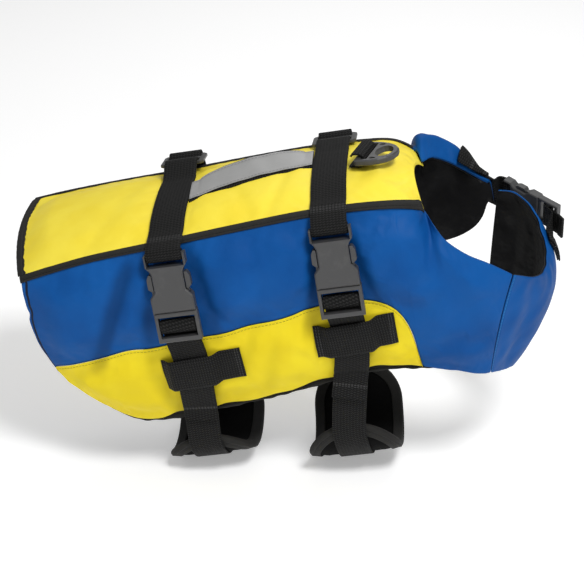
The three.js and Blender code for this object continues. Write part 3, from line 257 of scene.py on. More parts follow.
def even(curve, start, end, count):
    """Values evenly spaced by length along a curve."""
    t = np.linspace(start, end, 800)
    steps = np.linalg.norm(np.diff(curve(t), axis=0), axis=-1)
    length = np.concatenate([[0], np.cumsum(steps)])
    return np.interp(np.linspace(0, length[-1], count + 1), length, t)


def outline(side, rows, count):
    """A line drawn from the side, as places on a side wall, with its slope there."""
    rows = np.array(rows, float)
    t = even(lambda s: through(rows, s), 0, len(rows) - 1, count)
    points, ahead = through(rows, t), through(rows, t + 0.01)
    u, v = locate(side, points[:, 0], points[:, 1])
    slope = np.abs((ahead[:, 1] - points[:, 1]) / (ahead[:, 0] - points[:, 0]))
    return np.stack([np.maximum(u, 0), np.minimum(v, 1), slope], -1)


def edge_at(edge, u):
    return np.interp(u, edge[:, 0], edge[:, 1]), np.interp(u, edge[:, 0], edge[:, 2])


def front_line(side, first, count):
    """Columns from a place on the top seam to the front end, evenly spaced, with the hem as their foot."""
    u = even(lambda s: side_point(side, s, 0 * s), first, LAST[side], count)
    return np.stack([u, np.ones_like(u), np.zeros_like(u)], -1)


SEAM_COLUMNS = 104
FAR_TAIL = [-172.75, -94.8]
SEAMS = {
    NEAR: outline(NEAR, LOWER_SEAM + [HEM_CORNER], SEAM_COLUMNS),
    FAR: outline(FAR, [FAR_TAIL] + LOWER_SEAM + [HEM_CORNER], SEAM_COLUMNS),
}
hem_start = float(locate(NEAR, *HEM_CORNER)[0])
near_edge = np.concatenate([SEAMS[NEAR][:-1], front_line(NEAR, hem_start, 36)])
far_above = SEAMS[FAR][side_point(FAR, SEAMS[FAR][:, 0], SEAMS[FAR][:, 1])[:, 2] > FLAP_SPLIT]
flap_line = np.concatenate([far_above[-1:], outline(FAR, FLAP_EDGE, 60)])
flap_columns = front_line(FAR, float(far_above[-1, 0]) + 0.03, 44)
flap_columns[:, 1], flap_columns[:, 2] = edge_at(flap_line, flap_columns[:, 0])
far_edge = np.concatenate([far_above, flap_columns])
EDGES = {NEAR: near_edge, FAR: far_edge}


# How far the padded panels stand out from the base surface
def ramp(distance, rise):
    return smooth((distance - SEAM_FLAT) / rise)


def fold_depth(folds, x, z, v):
    """The sum of troughs, each a bell across its leaning line that fades out at its two ends."""
    depth = 0 * x
    for place, lean, deep, half, start, end in folds:
        off = (x - place - lean * (z + 70)) / half
        reach = smooth((v - start + 0.12) / 0.2) * smooth((end - v + 0.12) / 0.2)
        depth = depth + deep * np.exp(-off * off) * reach
    return depth


def from_line(points, line):
    """How far each point is from a line through a row of points: its nearest point on each length of it."""
    nearest = np.full(points.shape[:-1], 1e9)
    for start, end in zip(line[:-1], line[1:]):
        way = end - start
        t = np.clip(((points - start) @ way) / (way @ way + 1e-9), 0, 1)
        nearest = np.minimum(nearest, np.linalg.norm(points - start - t[..., None] * way, axis=-1))
    return nearest


def side_puff(side, u, v, edge=None):
    """Foam height: full inside a panel, level at its seams, less the soft folds."""
    p = side_point(side, u, v)
    long = rib_length(side, u)
    edge = SEAMS[side] if edge is None else edge
    below = v > edge_at(edge, u)[0]
    from_edge = from_line(p, side_point(side, edge[::2, 0], edge[::2, 1]))
    tail, front = side_point(side, 0, v)[..., 0], side_point(side, LAST[side], v)[..., 0]
    inside = (
        ramp(np.where(below, from_edge, v * long), 20) * ramp(np.where(below, (1 - v) * long, from_edge), 20)
        * ramp(p[..., 0] - tail, 18) * ramp(front - p[..., 0], 18)
    )
    return inside * (np.where(below, LOWER_PUFF, SIDE_PUFF) - fold_depth(FOLDS, p[..., 0], p[..., 2], v))


def back_puff(u, w):
    p = back_point(u, w)
    half = through(WALLS[NEAR][:, 0], u)[..., 1]
    inside = (
        ramp((1 - np.abs(w)) * half, 30) * ramp(p[..., 0] - back_point(0, w)[..., 0], 22)
        * ramp(back_point(9, w)[..., 0] - p[..., 0], 22)
    )
    pressed = sum(1.6 * np.exp(-(((p[..., 0] - girth["x"]) / 20) ** 2)) for girth in GIRTHS.values())
    return inside * (BACK_PUFF - pressed)


def normal_of(at, sign):
    p, pu, pv = at(0, 0), at(0.01, 0), at(0, 0.01)
    return unit(np.cross(pu - p, pv - p)) * sign


def side_skin(side, x, z, distance, edge=None):
    """A place above the outer face of a side wall, out along its normal."""
    u, v = locate(side, x, z)
    puff = np.where(v > 1, 0, side_puff(side, u, v, edge))
    return lift(side_point(side, u, v), puff) + distance * normal_of(
        lambda du, dv: side_point(side, u + du, v + dv), side)


def back_skin(x, w, distance):
    """A place above the back at a distance forward, w across, out along its normal."""
    x, w = np.broadcast_arrays(np.asarray(x, float), np.asarray(w, float))
    u = np.full_like(x, 4)
    for _ in range(30):
        here = back_point(u, w)[..., 0]
        slope = (back_point(u + 0.001, w)[..., 0] - here) / 0.001
        u = u + np.clip((x - here) / slope, -1, 1)
    seam = (1 - np.abs(w)) * through(WALLS[NEAR][:, 0], u)[..., 1] < TAPE_HALF + 1
    rise = np.where(seam, CLEAR + TAPE_THICK, back_puff(u, w))
    return lift(back_point(u, w), rise) + distance * normal_of(lambda du, dw: back_point(u + du, w + dw), 1)


ACROSS = np.array([-0.52, -0.26, 0, 0.26, 0.52]) * WEB


def strap_on(skin, x, place, distance):
    """The middle of a strap that lies flat across what is under it, so that it clears the highest of it."""
    middle = skin(x, place, 0)
    out = unit(skin(x, place, 1) - middle)
    high = ((skin(x + ACROSS, place, 0) - middle) @ out).max()
    return middle + out * (high + distance)


def ripple(along, seed, *lengths):
    """An uneven wave: a sum of sines of the given lengths, with phases from the seed."""
    return sum(
        math.cos(3.1 * i + seed) * 0.4 * np.sin(6.2832 * along / long + seed * 1.7 + 2.3 * i)
        + 0.6 * np.sin(6.2832 * along / long + seed + 1.3 * i) for i, long in enumerate(lengths)
    ) / len(lengths)


def settled(rise, rounds=2):
    """Heights evened out along a panel, so that no fold ends in a hard line."""
    for _ in range(rounds):
        rise = np.concatenate([rise[:1], (rise[:-2] + 2 * rise[1:-1] + rise[2:]) / 4, rise[-1:]])
    return rise


def hem_rise(x):
    """How far the hem is drawn up at a place forward, most beside the girth straps."""
    return 0.7 + sum(high * np.exp(-(((x - place) / half) ** 2)) for place, high, half in HEM_TUCKS)


# The free shoulder flap turns over at its top: distance below its edge, way in, way up
ROLL = np.array([[0, -9, 6], [6, -6.3, 15], [12, -2, 23], [18, 2, 28], [24, 4, 29.5], [32, 4.5, 30]])


def roll(x, t, full):
    """The flap's move at a place forward and a distance below its top edge, none at its lower edge."""
    share = smooth((x - 106) / 14) * (1 - 0.42 * smooth((x - 138) / 26))
    share = share * (1 - smooth((t - 12) / (np.minimum(full, 90) - 12)))
    return np.stack([0 * t, share * np.interp(t, ROLL[:, 0], ROLL[:, 1]), share * np.interp(t, *ROLL.T[[0, 2]])], -1)


def rolled(base, t, full):
    """The far wall with its flap turned over, and the way out of it at each point."""
    share = smooth((base[..., 0:1] - 104) / 10)
    base = base + roll(base[..., 0], t, full)
    across = np.cross(np.gradient(base, axis=0), np.gradient(base, axis=1))
    away = lift(base, 1 + 0 * t) - base
    across = unit(across) * np.sign((across[:, -2:-1] * away[:, -2:-1]).sum(-1, keepdims=True))
    return base, unit(away * (1 - share) + across * share)


def flap_skin(u, t, rise):
    """A place above the outer face of the flap, at a distance below its top edge."""
    u, t = np.broadcast_arrays(np.asarray(u, float), np.asarray(t, float))

    def at(du, dt):
        long = rib_length(FAR, u + du)
        here = side_point(FAR, u + du, (t + dt) / long)
        return here + roll(here[..., 0], t + dt, edge_at(far_edge, u + du)[0] * long)

    normal = unit(np.cross(at(0.01, 0) - at(0, 0), at(0, 0.1) - at(0, 0)))
    puff = side_puff(FAR, u, t / rib_length(FAR, u), far_edge)
    return at(0, 0) + normal * (puff + rise)[..., None]


def pucker(along, distance, seed, depth, reach):
    """Gathers beside a stitched seam: an uneven wave along it that dies away from it."""
    swell = smooth(distance / 3) * np.exp(-distance / reach)
    return depth * swell * (0.4 + ripple(along + 0.5 * distance, seed, 9.5, 15, 27))


# Meshes
def to_part(points):
    """Turned nose up about the Y axis, shifted to the frame's origin, and in metres."""
    c, s = math.cos(math.radians(PITCH)), math.sin(math.radians(PITCH))
    x, y, z = np.moveaxis(np.asarray(points, float), -1, 0)
    return (np.stack([x * c - z * s, y, x * s + z * c], -1) + ORIGIN_SHIFT) * 0.001


def lengths_along(grid, axis):
    """How far each grid point is along the grid from its first row or column."""
    steps = np.linalg.norm(np.diff(grid, axis=axis), axis=-1)
    start = np.zeros_like(np.take(steps, [0], axis=axis))
    return np.concatenate([start, np.cumsum(steps, axis=axis)], axis=axis)


def wall(outer, inner):
    """Faces of a closed solid between two grids: both faces and the four strips that join their borders."""
    n, m = outer.shape[:2]
    a = np.arange(n * m).reshape(n, m)
    b = a + n * m

    def quads(*corners):
        return np.stack(corners, -1).reshape(-1, 4)

    faces = [
        quads(a[:-1, :-1], a[1:, :-1], a[1:, 1:], a[:-1, 1:]), quads(b[:-1, :-1], b[:-1, 1:], b[1:, 1:], b[1:, :-1]),
        quads(a[:-1, 0], b[:-1, 0], b[1:, 0], a[1:, 0]), quads(a[:-1, -1], a[1:, -1], b[1:, -1], b[:-1, -1]),
        quads(a[0, :-1], a[0, 1:], b[0, 1:], b[0, :-1]), quads(a[-1, :-1], b[-1, :-1], b[-1, 1:], a[-1, 1:]),
    ]
    return np.concatenate([outer.reshape(-1, 3), inner.reshape(-1, 3)]), faces


def add_map(mesh, name, values):
    layer = mesh.uv_layers.new(name=name)
    index = np.empty(len(mesh.loops), np.int32)
    mesh.loops.foreach_get("vertex_index", index)
    layer.data.foreach_set("uv", np.ascontiguousarray(values[index], np.float32).ravel())


def piece(name, points, faces, maps, materials, replaced, slot, rounds=0, face_slots=None):
    """A finished piece: its mesh in the part's frame, its maps in millimetres, its finish and its body."""
    mesh = bpy.data.meshes.new(name)
    faces = np.concatenate(faces)
    flat = to_part(points)
    corners = flat[faces]
    volume = np.einsum("ij,ij->i", corners[:, 0], np.cross(corners[:, 1], corners[:, 2]))
    volume += np.einsum("ij,ij->i", corners[:, 0], np.cross(corners[:, 2], corners[:, 3]))
    if volume.sum() < 0:
        faces = faces[:, ::-1]
    mesh.from_pydata(flat, [], faces.tolist())
    mesh.polygons.foreach_set("use_smooth", np.ones(len(faces), bool))
    for key, values in maps.items():
        add_map(mesh, key, values)
    for material in materials:
        mesh.materials.append(material)
    if face_slots is not None:
        mesh.polygons.foreach_set("material_index", np.ascontiguousarray(face_slots, np.int32))
    obj = bpy.data.objects.new(name, mesh)
    bpy.context.scene.collection.objects.link(obj)
    if rounds:
        soft = obj.modifiers.new("soft edges", "SUBSURF")
        soft.levels = soft.render_levels = rounds
    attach(obj, "vest")
    if replaced:
        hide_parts(replaced)
    return obj


def grid_maps(grid):
    """Maps of a grid in millimetres: along and across it, and how far in from each of its four borders."""
    along, across = lengths_along(grid, 0), lengths_along(grid, 1)
    cloth = np.stack([along, across], -1)
    far = np.stack([along[-1:] - along, across[:, -1:] - across], -1)
    return {"cloth": np.tile(cloth.reshape(-1, 2), (2, 1)), "far": np.tile(far.reshape(-1, 2), (2, 1))}


def cloth_wall(name, outer, inner, materials, replaced, slot, rounds=0, extra=None):
    """A closed cloth layer with its own finish on the inner face when a second material is given."""
    points, faces = wall(outer, inner)
    slots = np.concatenate([np.full(len(f), 1 if i == 1 and len(materials) > 1 else 0) for i, f in enumerate(faces)])
    return piece(name, points, faces, {**grid_maps(outer), **(extra or {})}, materials, replaced, slot, rounds, slots)


def declare_sheet(obj, grid):
    """Works out the size that a cloth piece's grid measures, which is what it was cut to, and keeps nothing of it."""
    along, across = lengths_along(grid, 0)[-1], lengths_along(grid, 1)[:, -1]
    u, v = np.diff(grid, axis=0)[:, :-1], np.diff(grid, axis=1)[:-1]
    area = np.linalg.norm(np.cross(u, v), axis=-1).sum() * 1e-6
    width, length = across.max() * 1e-3, along.max() * 1e-3
    width, length = max(width, 0.0101), max(length, 0.0101)
    area = min(max(area, 0.31 * width * length), width * length)


def swell(outer, sewn, cap, slack, pressure=4):
    """Cloth simulation of a panel's face: a light pressure lifts slightly slack cloth off its foam.

    The points marked sewn are pinned, it runs for 20 frames, and no point moves more than cap millimetres.
    """
    n, m = outer.shape[:2]
    a = np.arange(n * m).reshape(n, m)
    faces = np.stack([a[:-1, :-1], a[1:, :-1], a[1:, 1:], a[:-1, 1:]], -1).reshape(-1, 4)
    out = unit(np.cross(np.gradient(outer, axis=0), np.gradient(outer, axis=1)))
    away = lift(outer, 1.0) - outer
    if (out * away).sum() < 0:
        faces = faces[:, ::-1]
    start = to_part(outer.reshape(-1, 3))
    mesh = bpy.data.meshes.new("trial")
    mesh.from_pydata(start, [], faces.tolist())
    trial = bpy.data.objects.new("trial", mesh)
    scene = bpy.context.scene
    scene.collection.objects.link(trial)
    group = trial.vertex_groups.new(name="sewn")
    group.add(np.flatnonzero(sewn.ravel()).tolist(), 1, "REPLACE")
    cloth = trial.modifiers.new("cloth", "CLOTH")
    settings = cloth.settings
    settings.quality = 5
    settings.mass = 0.12
    settings.tension_stiffness = settings.compression_stiffness = 20
    settings.shear_stiffness = 10
    settings.bending_stiffness = 0.4
    settings.use_pressure = True
    settings.uniform_pressure_force = pressure
    settings.shrink_min = -slack
    settings.vertex_group_mass = "sewn"
    settings.effector_weights.gravity = 0
    cloth.collision_settings.use_collision = False
    cloth.point_cache.frame_start, cloth.point_cache.frame_end = 1, 20
    for step in range(1, 21):
        scene.frame_set(step)
    shaped = trial.evaluated_get(bpy.context.evaluated_depsgraph_get())
    end = np.empty(len(start) * 3)
    shaped.data.vertices.foreach_get("co", end)
    bpy.data.objects.remove(trial)
    scene.frame_set(1)
    move = (end.reshape(-1, 3) - start) * 1000
    size = np.linalg.norm(move, axis=-1, keepdims=True)
    move = move * cap / (cap + size)
    c, s = math.cos(math.radians(PITCH)), math.sin(math.radians(PITCH))
    level = np.stack([move[:, 0] * c + move[:, 2] * s, move[:, 1], move[:, 2] * c - move[:, 0] * s], -1)
    return outer + level.reshape(outer.shape)


# Finishes
class Value:
    """A number that varies over a surface: the operators on it add Math nodes to its finish."""

    def __init__(self, finish, socket):
        self.finish, self.socket = finish, socket

    def maths(self, operation, *values):
        node = self.finish.node("ShaderNodeMath", {"operation": operation}, dict(enumerate(values)))
        return Value(self.finish, node.outputs[0])

    def __add__(self, other):
        return self.maths("ADD", self, other)

    def __sub__(self, other):
        return self.maths("SUBTRACT", self, other)

    def __rsub__(self, other):
        return self.maths("SUBTRACT", other, self)

    def __mul__(self, other):
        return self.maths("MULTIPLY", self, other)

    def __truediv__(self, other):
        return self.maths("DIVIDE", self, other)

    __radd__, __rmul__ = __add__, __mul__

    def sine(self, length):
        """A wave from 0 to 1 whose length is in the value's own unit."""
        return (self * (6.2832 / length)).maths("SINE", (self * (6.2832 / length))) * 0.5 + 0.5

    def band(self, centre, half, soft=0.15):
        """1 within half of the centre, and 0 outside."""
        near = (self - centre).maths("ABSOLUTE", self - centre)
        return self.finish.between(near, half + soft, half)

    def fraction(self):
        return self.maths("FRACT", self)


class Finish:
    """A material: one method adds a node of any type, and the rest are the patterns that cloth and plastic share."""

    def __init__(self, name, rough, **constants):
        self.material = bpy.data.materials.new(name)
        self.material.use_nodes = True
        self.tree = self.material.node_tree
        self.shader = self.tree.nodes["Principled BSDF"]
        self.shader.inputs["Roughness"].default_value = rough
        for key, value in constants.items():
            self.shader.inputs[key.replace("_", " ")].default_value = value

    def node(self, kind, settings=None, values=None):
        node = self.tree.nodes.new(kind)
        for key, value in (settings or {}).items():
            setattr(node, key, value)
        for key, value in (values or {}).items():
            if isinstance(value, Value):
                self.tree.links.new(value.socket, node.inputs[key])
            else:
                node.inputs[key].default_value = value
        return node

    def between(self, value, low, high):
        """0 at low, 1 at high, smooth between."""
        node = self.node("ShaderNodeMapRange", {"interpolation_type": "SMOOTHSTEP"}, {0: value, 1: low, 2: high})
        return Value(self, node.outputs[0])

    def map(self, name):
        """The two numbers of one of the piece's maps, in millimetres."""
        place = self.node("ShaderNodeUVMap", {"uv_map": name})
        parts = self.node("ShaderNodeSeparateXYZ", None, {0: Value(self, place.outputs[0])})
        return Value(self, parts.outputs[0]), Value(self, parts.outputs[1])

    def spots(self, size, detail=2.0, rough=0.5):
        """Soft noise from 0 to 1 on Object coordinates, whose size is in millimetres."""
        place = self.node("ShaderNodeTexCoord")
        noise = self.node("ShaderNodeTexNoise", None, {
            "Vector": Value(self, place.outputs["Object"]), "Scale": 1000 / size, "Detail": detail, "Roughness": rough,
        })
        return Value(self, noise.outputs["Fac"])

    def blend(self, factor, first, second):
        node = self.node("ShaderNodeMix", {"data_type": "RGBA"}, {0: factor})
        for socket, value in ((6, first), (7, second)):
            if isinstance(value, Value):
                self.tree.links.new(value.socket, node.inputs[socket])
            else:
                node.inputs[socket].default_value = (*value, 1)
        return Value(self, node.outputs[2])

    def paint(self, colour=None, rough=None, height=None, depth=1.0):
        """Connects what varies: colour, roughness, and height in millimetres as a bump."""
        if colour is not None:
            self.tree.links.new(colour.socket, self.shader.inputs["Base Color"])
        if rough is not None:
            self.tree.links.new(rough.socket, self.shader.inputs["Roughness"])
        if height is not None:
            bump = self.node("ShaderNodeBump", None, {"Strength": depth, "Distance": 0.001, "Height": height})
            self.tree.links.new(bump.outputs[0], self.shader.inputs["Normal"])
        return self.material

    def stitches(self, distance, along, place, pitch=2.6):
        """A row of thread: dashes at a distance from an edge, as a mask of thread and one of its dent."""
        row = distance.band(place, 0.22, 0.15)
        dash = self.between((along / pitch).fraction(), 0.72, 0.66)
        dent = distance.band(place, 0.7, 0.9)
        return row * dash, dent


def nylon(name, light, deep, rough, rows=(), seam_line=None, thread_colour=None, folded=False):
    """Coated woven nylon: a fine plain weave, faint cloudy colour, rows of stitches beside its borders, and, when
    folded is set, painted shade in the troughs of its folds.

    rows are (map, which number, place); seam_line is a dark turned edge at the tail.
    """
    finish = Finish(name, rough, Specular_IOR_Level=0.12)
    along, across = finish.map("cloth")
    weave = along.sine(0.9) * across.sine(0.9) + (along + 0.45).sine(0.9) * (across + 0.45).sine(0.9)
    clouds = finish.spots(38, 3.0)
    crumple = finish.spots(13, 4.0, 0.55)
    colour = finish.blend(finish.between(clouds, 0.3, 0.7), deep, light)
    colour = finish.blend(weave * 0.1, colour, tuple(min(1, c * 1.35) for c in light))
    height = weave * 0.02 + crumple * 0.5
    # Painted shade: where folded is set, the colour is darkened towards a third of the deep tone in the fold troughs,
    # by their depth from the folds map.
    if folded:
        fold_shade = finish.between(finish.map("folds")[0], 0.5, 5)
        colour = finish.blend(fold_shade * 0.55, colour, tuple(c * 0.3 for c in deep))
    for where, which, place in rows:
        numbers = finish.map(where)
        thread, dent = finish.stitches(numbers[which], (along, across)[1 - which], place)
        colour = finish.blend(thread * 0.75, colour, thread_colour or tuple(c * 0.25 for c in deep))
        height = height - dent * 0.35 + thread * 0.15
    if seam_line:
        wobble = finish.spots(9) * 1.6 - 0.8
        line = (along + wobble).band(seam_line, 0.75, 0.3)
        colour = finish.blend(line * 0.94, colour, (0.008, 0.008, 0.009))
        height = height - line * 0.7
    finish.paint(colour, finish.between(crumple, 0.2, 0.8) * 0.1 + (rough - 0.05), height)
    return finish.material


def webbing(name, light=(0.027, 0.027, 0.0265), bars=False):
    """Ribbed black webbing: cross ribs in chevrons, and stitched bars where it is sewn."""
    finish = Finish(name, 0.72, Specular_IOR_Level=0.16)
    along, across = finish.map("cloth")
    zigzag = ((across / 2.3).fraction() - 0.5).maths("ABSOLUTE", (across / 2.3).fraction() - 0.5)
    rib = (along + zigzag * 1.5).sine(1.9)
    cord = across.sine(2.3)
    weave = rib * (cord * 0.45 + 0.55)
    wear = finish.spots(6, 3.0)
    # Painted highlight: the rib crests are coloured from near black up to the light grey by the weave, varied by the
    # spots, as if lit.
    colour = finish.blend(weave * weave * (wear * 0.8 + 0.6), (0.0025, 0.0025, 0.0025), light)
    height = weave * 0.4
    if bars:
        near, beside = finish.map("bars")
        thread, dent = finish.stitches(near, beside, 0.9, 2.2)
        colour = finish.blend(thread * 0.7, colour, (0.06, 0.06, 0.06))
        height = height - dent * 0.2
    finish.paint(colour, wear * 0.15 + 0.62, height)
    return finish.material


def grosgrain(name, rows):
    """Black binding tape: fine ribs across it, and its rows of stitches at places across its width."""
    finish = Finish(name, 0.75, Specular_IOR_Level=0.2)
    along, across = finish.map("cloth")
    rib = along.sine(0.8)
    wear = finish.spots(7, 3.0)
    colour = finish.blend(rib * 0.5 + wear * 0.5, (0.009, 0.009, 0.0085), (0.027, 0.026, 0.024))
    height = rib * 0.05 + wear * 0.25
    for place in rows:
        thread, dent = finish.stitches(across, along, place)
        colour = finish.blend(thread * 0.75, colour, (0.004, 0.004, 0.004))
        height = height - dent * 0.35 + thread * 0.2
    finish.paint(colour, wear * 0.15 + 0.65, height)
    return finish.material


def satin_lining(name):
    """Black coated lining: nearly smooth, softly creased, with a low sheen painted lighter into the colour of its
    ridges.
    """
    finish = Finish(name, 0.42, Specular_IOR_Level=0.2)
    crease, fine = finish.spots(17, 3.0, 0.5), finish.spots(2.2, 2.0)
    # Painted sheen: the colour is lighter where the crease noise, which is also the bump height, is high, so the ridges
    # look lit.
    colour = finish.blend(crease, (0.003, 0.003, 0.0035), (0.009, 0.009, 0.0095))
    finish.paint(colour, crease * 0.2 + 0.32, crease * 2.2 + fine * 0.04)
    return finish.material


def knit(name):
    """Soft black pad cover: a fine knit with a matt nap."""
    finish = Finish(name, 0.9, Specular_IOR_Level=0.06)
    along, across = finish.map("cloth")
    loops = (along + across).sine(1.3) * (along - across).sine(1.3)
    nap = finish.spots(3, 3.0)
    colour = finish.blend(loops * 0.4 + nap * 0.6, (0.002, 0.002, 0.002), (0.009, 0.009, 0.009))
    finish.paint(colour, nap * 0.1 + 0.82, loops * 0.08 + nap * 0.3)
    return finish.material


def reflective(name, half):
    """Grey reflective tape: fine beads, a faint lattice, and a stitch row inside each edge."""
    finish = Finish(name, 0.45, Specular_IOR_Level=0.5)
    along, across = finish.map("cloth")
    beads, wear = finish.spots(0.7, 2.0), finish.spots(16, 3.0)
    lattice = (along + across).sine(2.4) * (along - across).sine(2.4)
    colour = finish.blend(wear * 0.7 + beads * 0.3, (0.25, 0.25, 0.248), (0.37, 0.37, 0.365))
    height = beads * 0.05 + wear * 0.3 + lattice * 0.03
    for place in (1.4, 2 * half - 1.4):
        thread, dent = finish.stitches(across, along, place)
        colour = finish.blend(thread * 0.7, colour, (0.06, 0.06, 0.06))
        height = height - dent * 0.3
    finish.paint(colour, beads * 0.15 + 0.36, height)
    return finish.material


def plastic(name, grey=0.05, rough=0.42):
    """Black moulded plastic: a fine spark-eroded grain, faint scuffs, and a satin gloss."""
    finish = Finish(name, rough, Specular_IOR_Level=0.5)
    grain, scuff = finish.spots(0.5, 2.0), finish.spots(9, 5.0, 0.65)
    worn = finish.between(scuff, 0.52, 0.75)
    colour = finish.blend(worn * 0.5, (grey, grey, grey * 1.02), (grey * 1.7, grey * 1.7, grey * 1.7))
    finish.paint(colour, worn * 0.12 + grain * 0.08 + (rough - 0.06), grain * 0.03)
    return finish.material


# One yellow cloth in two copies: the back's is painted lighter, as painted light on the top, and the lower panels'
# darker, as painted shade on cloth that faces down.
BACK_CLOTH_PAINTED_LIT = ((0.95, 0.77, 0.07), (0.9, 0.7, 0.045))
LOWER_CLOTH_PAINTED_SHADE = ((0.86, 0.69, 0.022), (0.78, 0.6, 0.014))
BLUE = ((0.003, 0.082, 0.31), (0.0015, 0.062, 0.25))
lining = satin_lining("black_lining")
strap_web = webbing("strap_webbing")
barred_web = webbing("strap_webbing_with_bars", bars=True)
moulding = plastic("black_moulding")


# Padded panels
def rows_of(length, count):
    """Fractions of a length: a close step at each end that keeps the rim crisp, then even steps."""
    rim = 1.1 / length
    middle = np.linspace(0, 1, count - 1)[1:-1]
    middle = rim[..., None] * 2 + (1 - 4 * rim[..., None]) * middle
    ends = np.zeros(length.shape + (1,))
    return np.concatenate([ends, rim[..., None], middle, 1 - rim[..., None], ends + 1], -1)


def strapped(points, margin=3):
    """True under the girth straps, the buckles and the webbing that crosses them."""
    x = points[..., 0]
    hit = np.zeros(x.shape, bool)
    for girth in GIRTHS.values():
        drift = girth["x"] + (girth["belly"] - girth["x"]) * smooth((-points[..., 2] - 90) / 90)
        hit |= np.abs(x - drift) < WEB / 2 + margin
        hit |= (np.abs(x - girth["keeper"]) < KEEPER_LONG / 2 + margin) & (
            np.abs(points[..., 2] - girth["keeper_z"]) < KEEPER_HIGH / 2 + margin + 1)
    return hit


def border(shape, width=1):
    mark = np.ones(shape, bool)
    mark[width:-width, width:-width] = False
    return mark


def folds_map(base, v):
    # The fold depth at each point, kept as the folds map from which the nylon finish paints shade into the troughs.
    depth = np.maximum(fold_depth(FOLDS, base[..., 0], base[..., 2], v), 0).ravel()
    return {"folds": np.tile(np.stack([depth, 0 * depth], -1), (2, 1))}


def side_panel(name, side, node, rows, cap, slack):
    """A side panel between the top seam and its lower edge, lifted by its foam, folds and seam puckers."""
    edge = EDGES[side]
    u = np.clip(edge[:, 0], 0, LAST[side] - 0.012)
    long = rib_length(side, u)
    top = 0.2 / long
    gap = np.where(edge[:, 1] < 1, 0.2 * np.hypot(1, edge[:, 2]), 0) / long
    bottom = edge[:, 1] - gap
    t = rows_of(long * (bottom - top), rows)
    v = top[:, None] + (bottom - top)[:, None] * t
    hemmed = np.where(edge[:, 1] < 1, 0, hem_rise(side_point(side, u, 1)[:, 0]) * 0.4) / long
    v = v * (1 - hemmed[:, None])
    uu = np.broadcast_to(u[:, None], v.shape)
    base = side_point(side, uu, v)
    along, across = lengths_along(base, 0), lengths_along(base, 1)
    low, tail, front = across[:, -1:] - across, along, along[-1:] - along
    out = lift(base, 1.0 + 0 * v) - base
    if side == FAR:
        base, out = rolled(base, v * long[:, None], (edge[:, 1] * long)[:, None])
    calm = 1 - smooth((WEB / 2 + 10 - np.abs(base[..., 0:1] - [-60, 54]).min(-1)) / 8)
    rise = settled(side_puff(side, uu, v, edge))
    rise = rise + calm * (
        pucker(along, low, 1.3 + side, 0.9, 7) + pucker(along, across, 2.1 + side, 0.5, 6)
        + pucker(across, tail, 0.4 + side, 0.9, 7) + pucker(across, front, 3.2 + side, 0.4, 5)
    )
    rise = rise - 0.5 * np.exp(-low / 1.5) * (edge[:, 1:2] < 1)
    outer = base + out * rise[..., None]
    sewn = border(v.shape, 2) | strapped(base)
    outer = swell(outer, sewn, cap, slack)
    notch = 1.6 * np.exp(-(((across - across[:, -1:] * 0.34) / 3.2) ** 2)) * np.exp(-tail / 2.5)
    wander = ripple(across, 2.2, 23, 41) * 0.7 * np.exp(-tail / 4)
    outer[..., 0] += notch + wander
    inner = base - out * WALL
    inner[..., 0] += notch + wander
    # The blue nylon gets painted shade in the troughs of its folds.
    blue = nylon(name + "_nylon", *BLUE, 0.55, rows=ROWS[node], seam_line=4.2, folded=True)
    obj = cloth_wall(name, outer, inner, [blue, lining], node, "blue_cloth", 1, folds_map(base, v))
    return obj


ROWS = {
    "side_panel_right": [],
    "side_panel_left": [("far", 1, 2.2)],
    "lower": [("cloth", 1, 2.4)],
    "chest": [("cloth", 0, 1.4), ("far", 0, 2.4)],
}


def lower_panel(name, side, node):
    """The lower panel: its turned top edge lies over the side panel, and its hem hangs a little uneven."""
    edge = SEAMS[side]
    u = edge[:, 0]
    long = rib_length(side, u)
    top = edge[:, 1] - 1.0 * np.hypot(1, edge[:, 2]).clip(1, 1.6) / long
    foot = 1 - np.minimum(hem_rise(side_point(side, u, 1)[:, 0]), long * (1 - top) * 0.3) / long
    t = rows_of(np.maximum(long * (foot - top), 6), 22)
    v = np.minimum(top[:, None] + (foot - top)[:, None] * t, 1)
    uu = np.broadcast_to(u[:, None], v.shape)
    base = side_point(side, uu, v)
    along, across = lengths_along(base, 0), lengths_along(base, 1)
    low = across[:, -1:] - across
    calm = 1 - smooth((WEB / 2 + 10 - np.abs(base[..., 0:1] - [-62, 50]).min(-1)) / 8)
    rise = settled(side_puff(side, uu, v)) + calm * (
        pucker(along, across, 0.7 + side, 1.3, 9) + pucker(along, low, 1.9 + side, 1.6, 10)
    )
    overlap = 0.75 * smooth(1 - across / 4) + 0.15
    outer = lift(base, rise + overlap)
    sewn = border(v.shape, 2) | strapped(base)
    outer = swell(outer, sewn, 3, 0.02)
    inner = lift(base, np.where(across < 2.5, 0.1, -WALL))
    # The lower panels take the darker copy of the yellow, as painted shade for cloth that faces down, with painted
    # shade in its fold troughs too.
    painted_shade_lower = nylon(name + "_nylon", *LOWER_CLOTH_PAINTED_SHADE, 0.55, rows=ROWS["lower"], folded=True)
    obj = cloth_wall(name, outer, inner, [painted_shade_lower, lining], node, "yellow_cloth", 1, folds_map(base, v))
    return obj


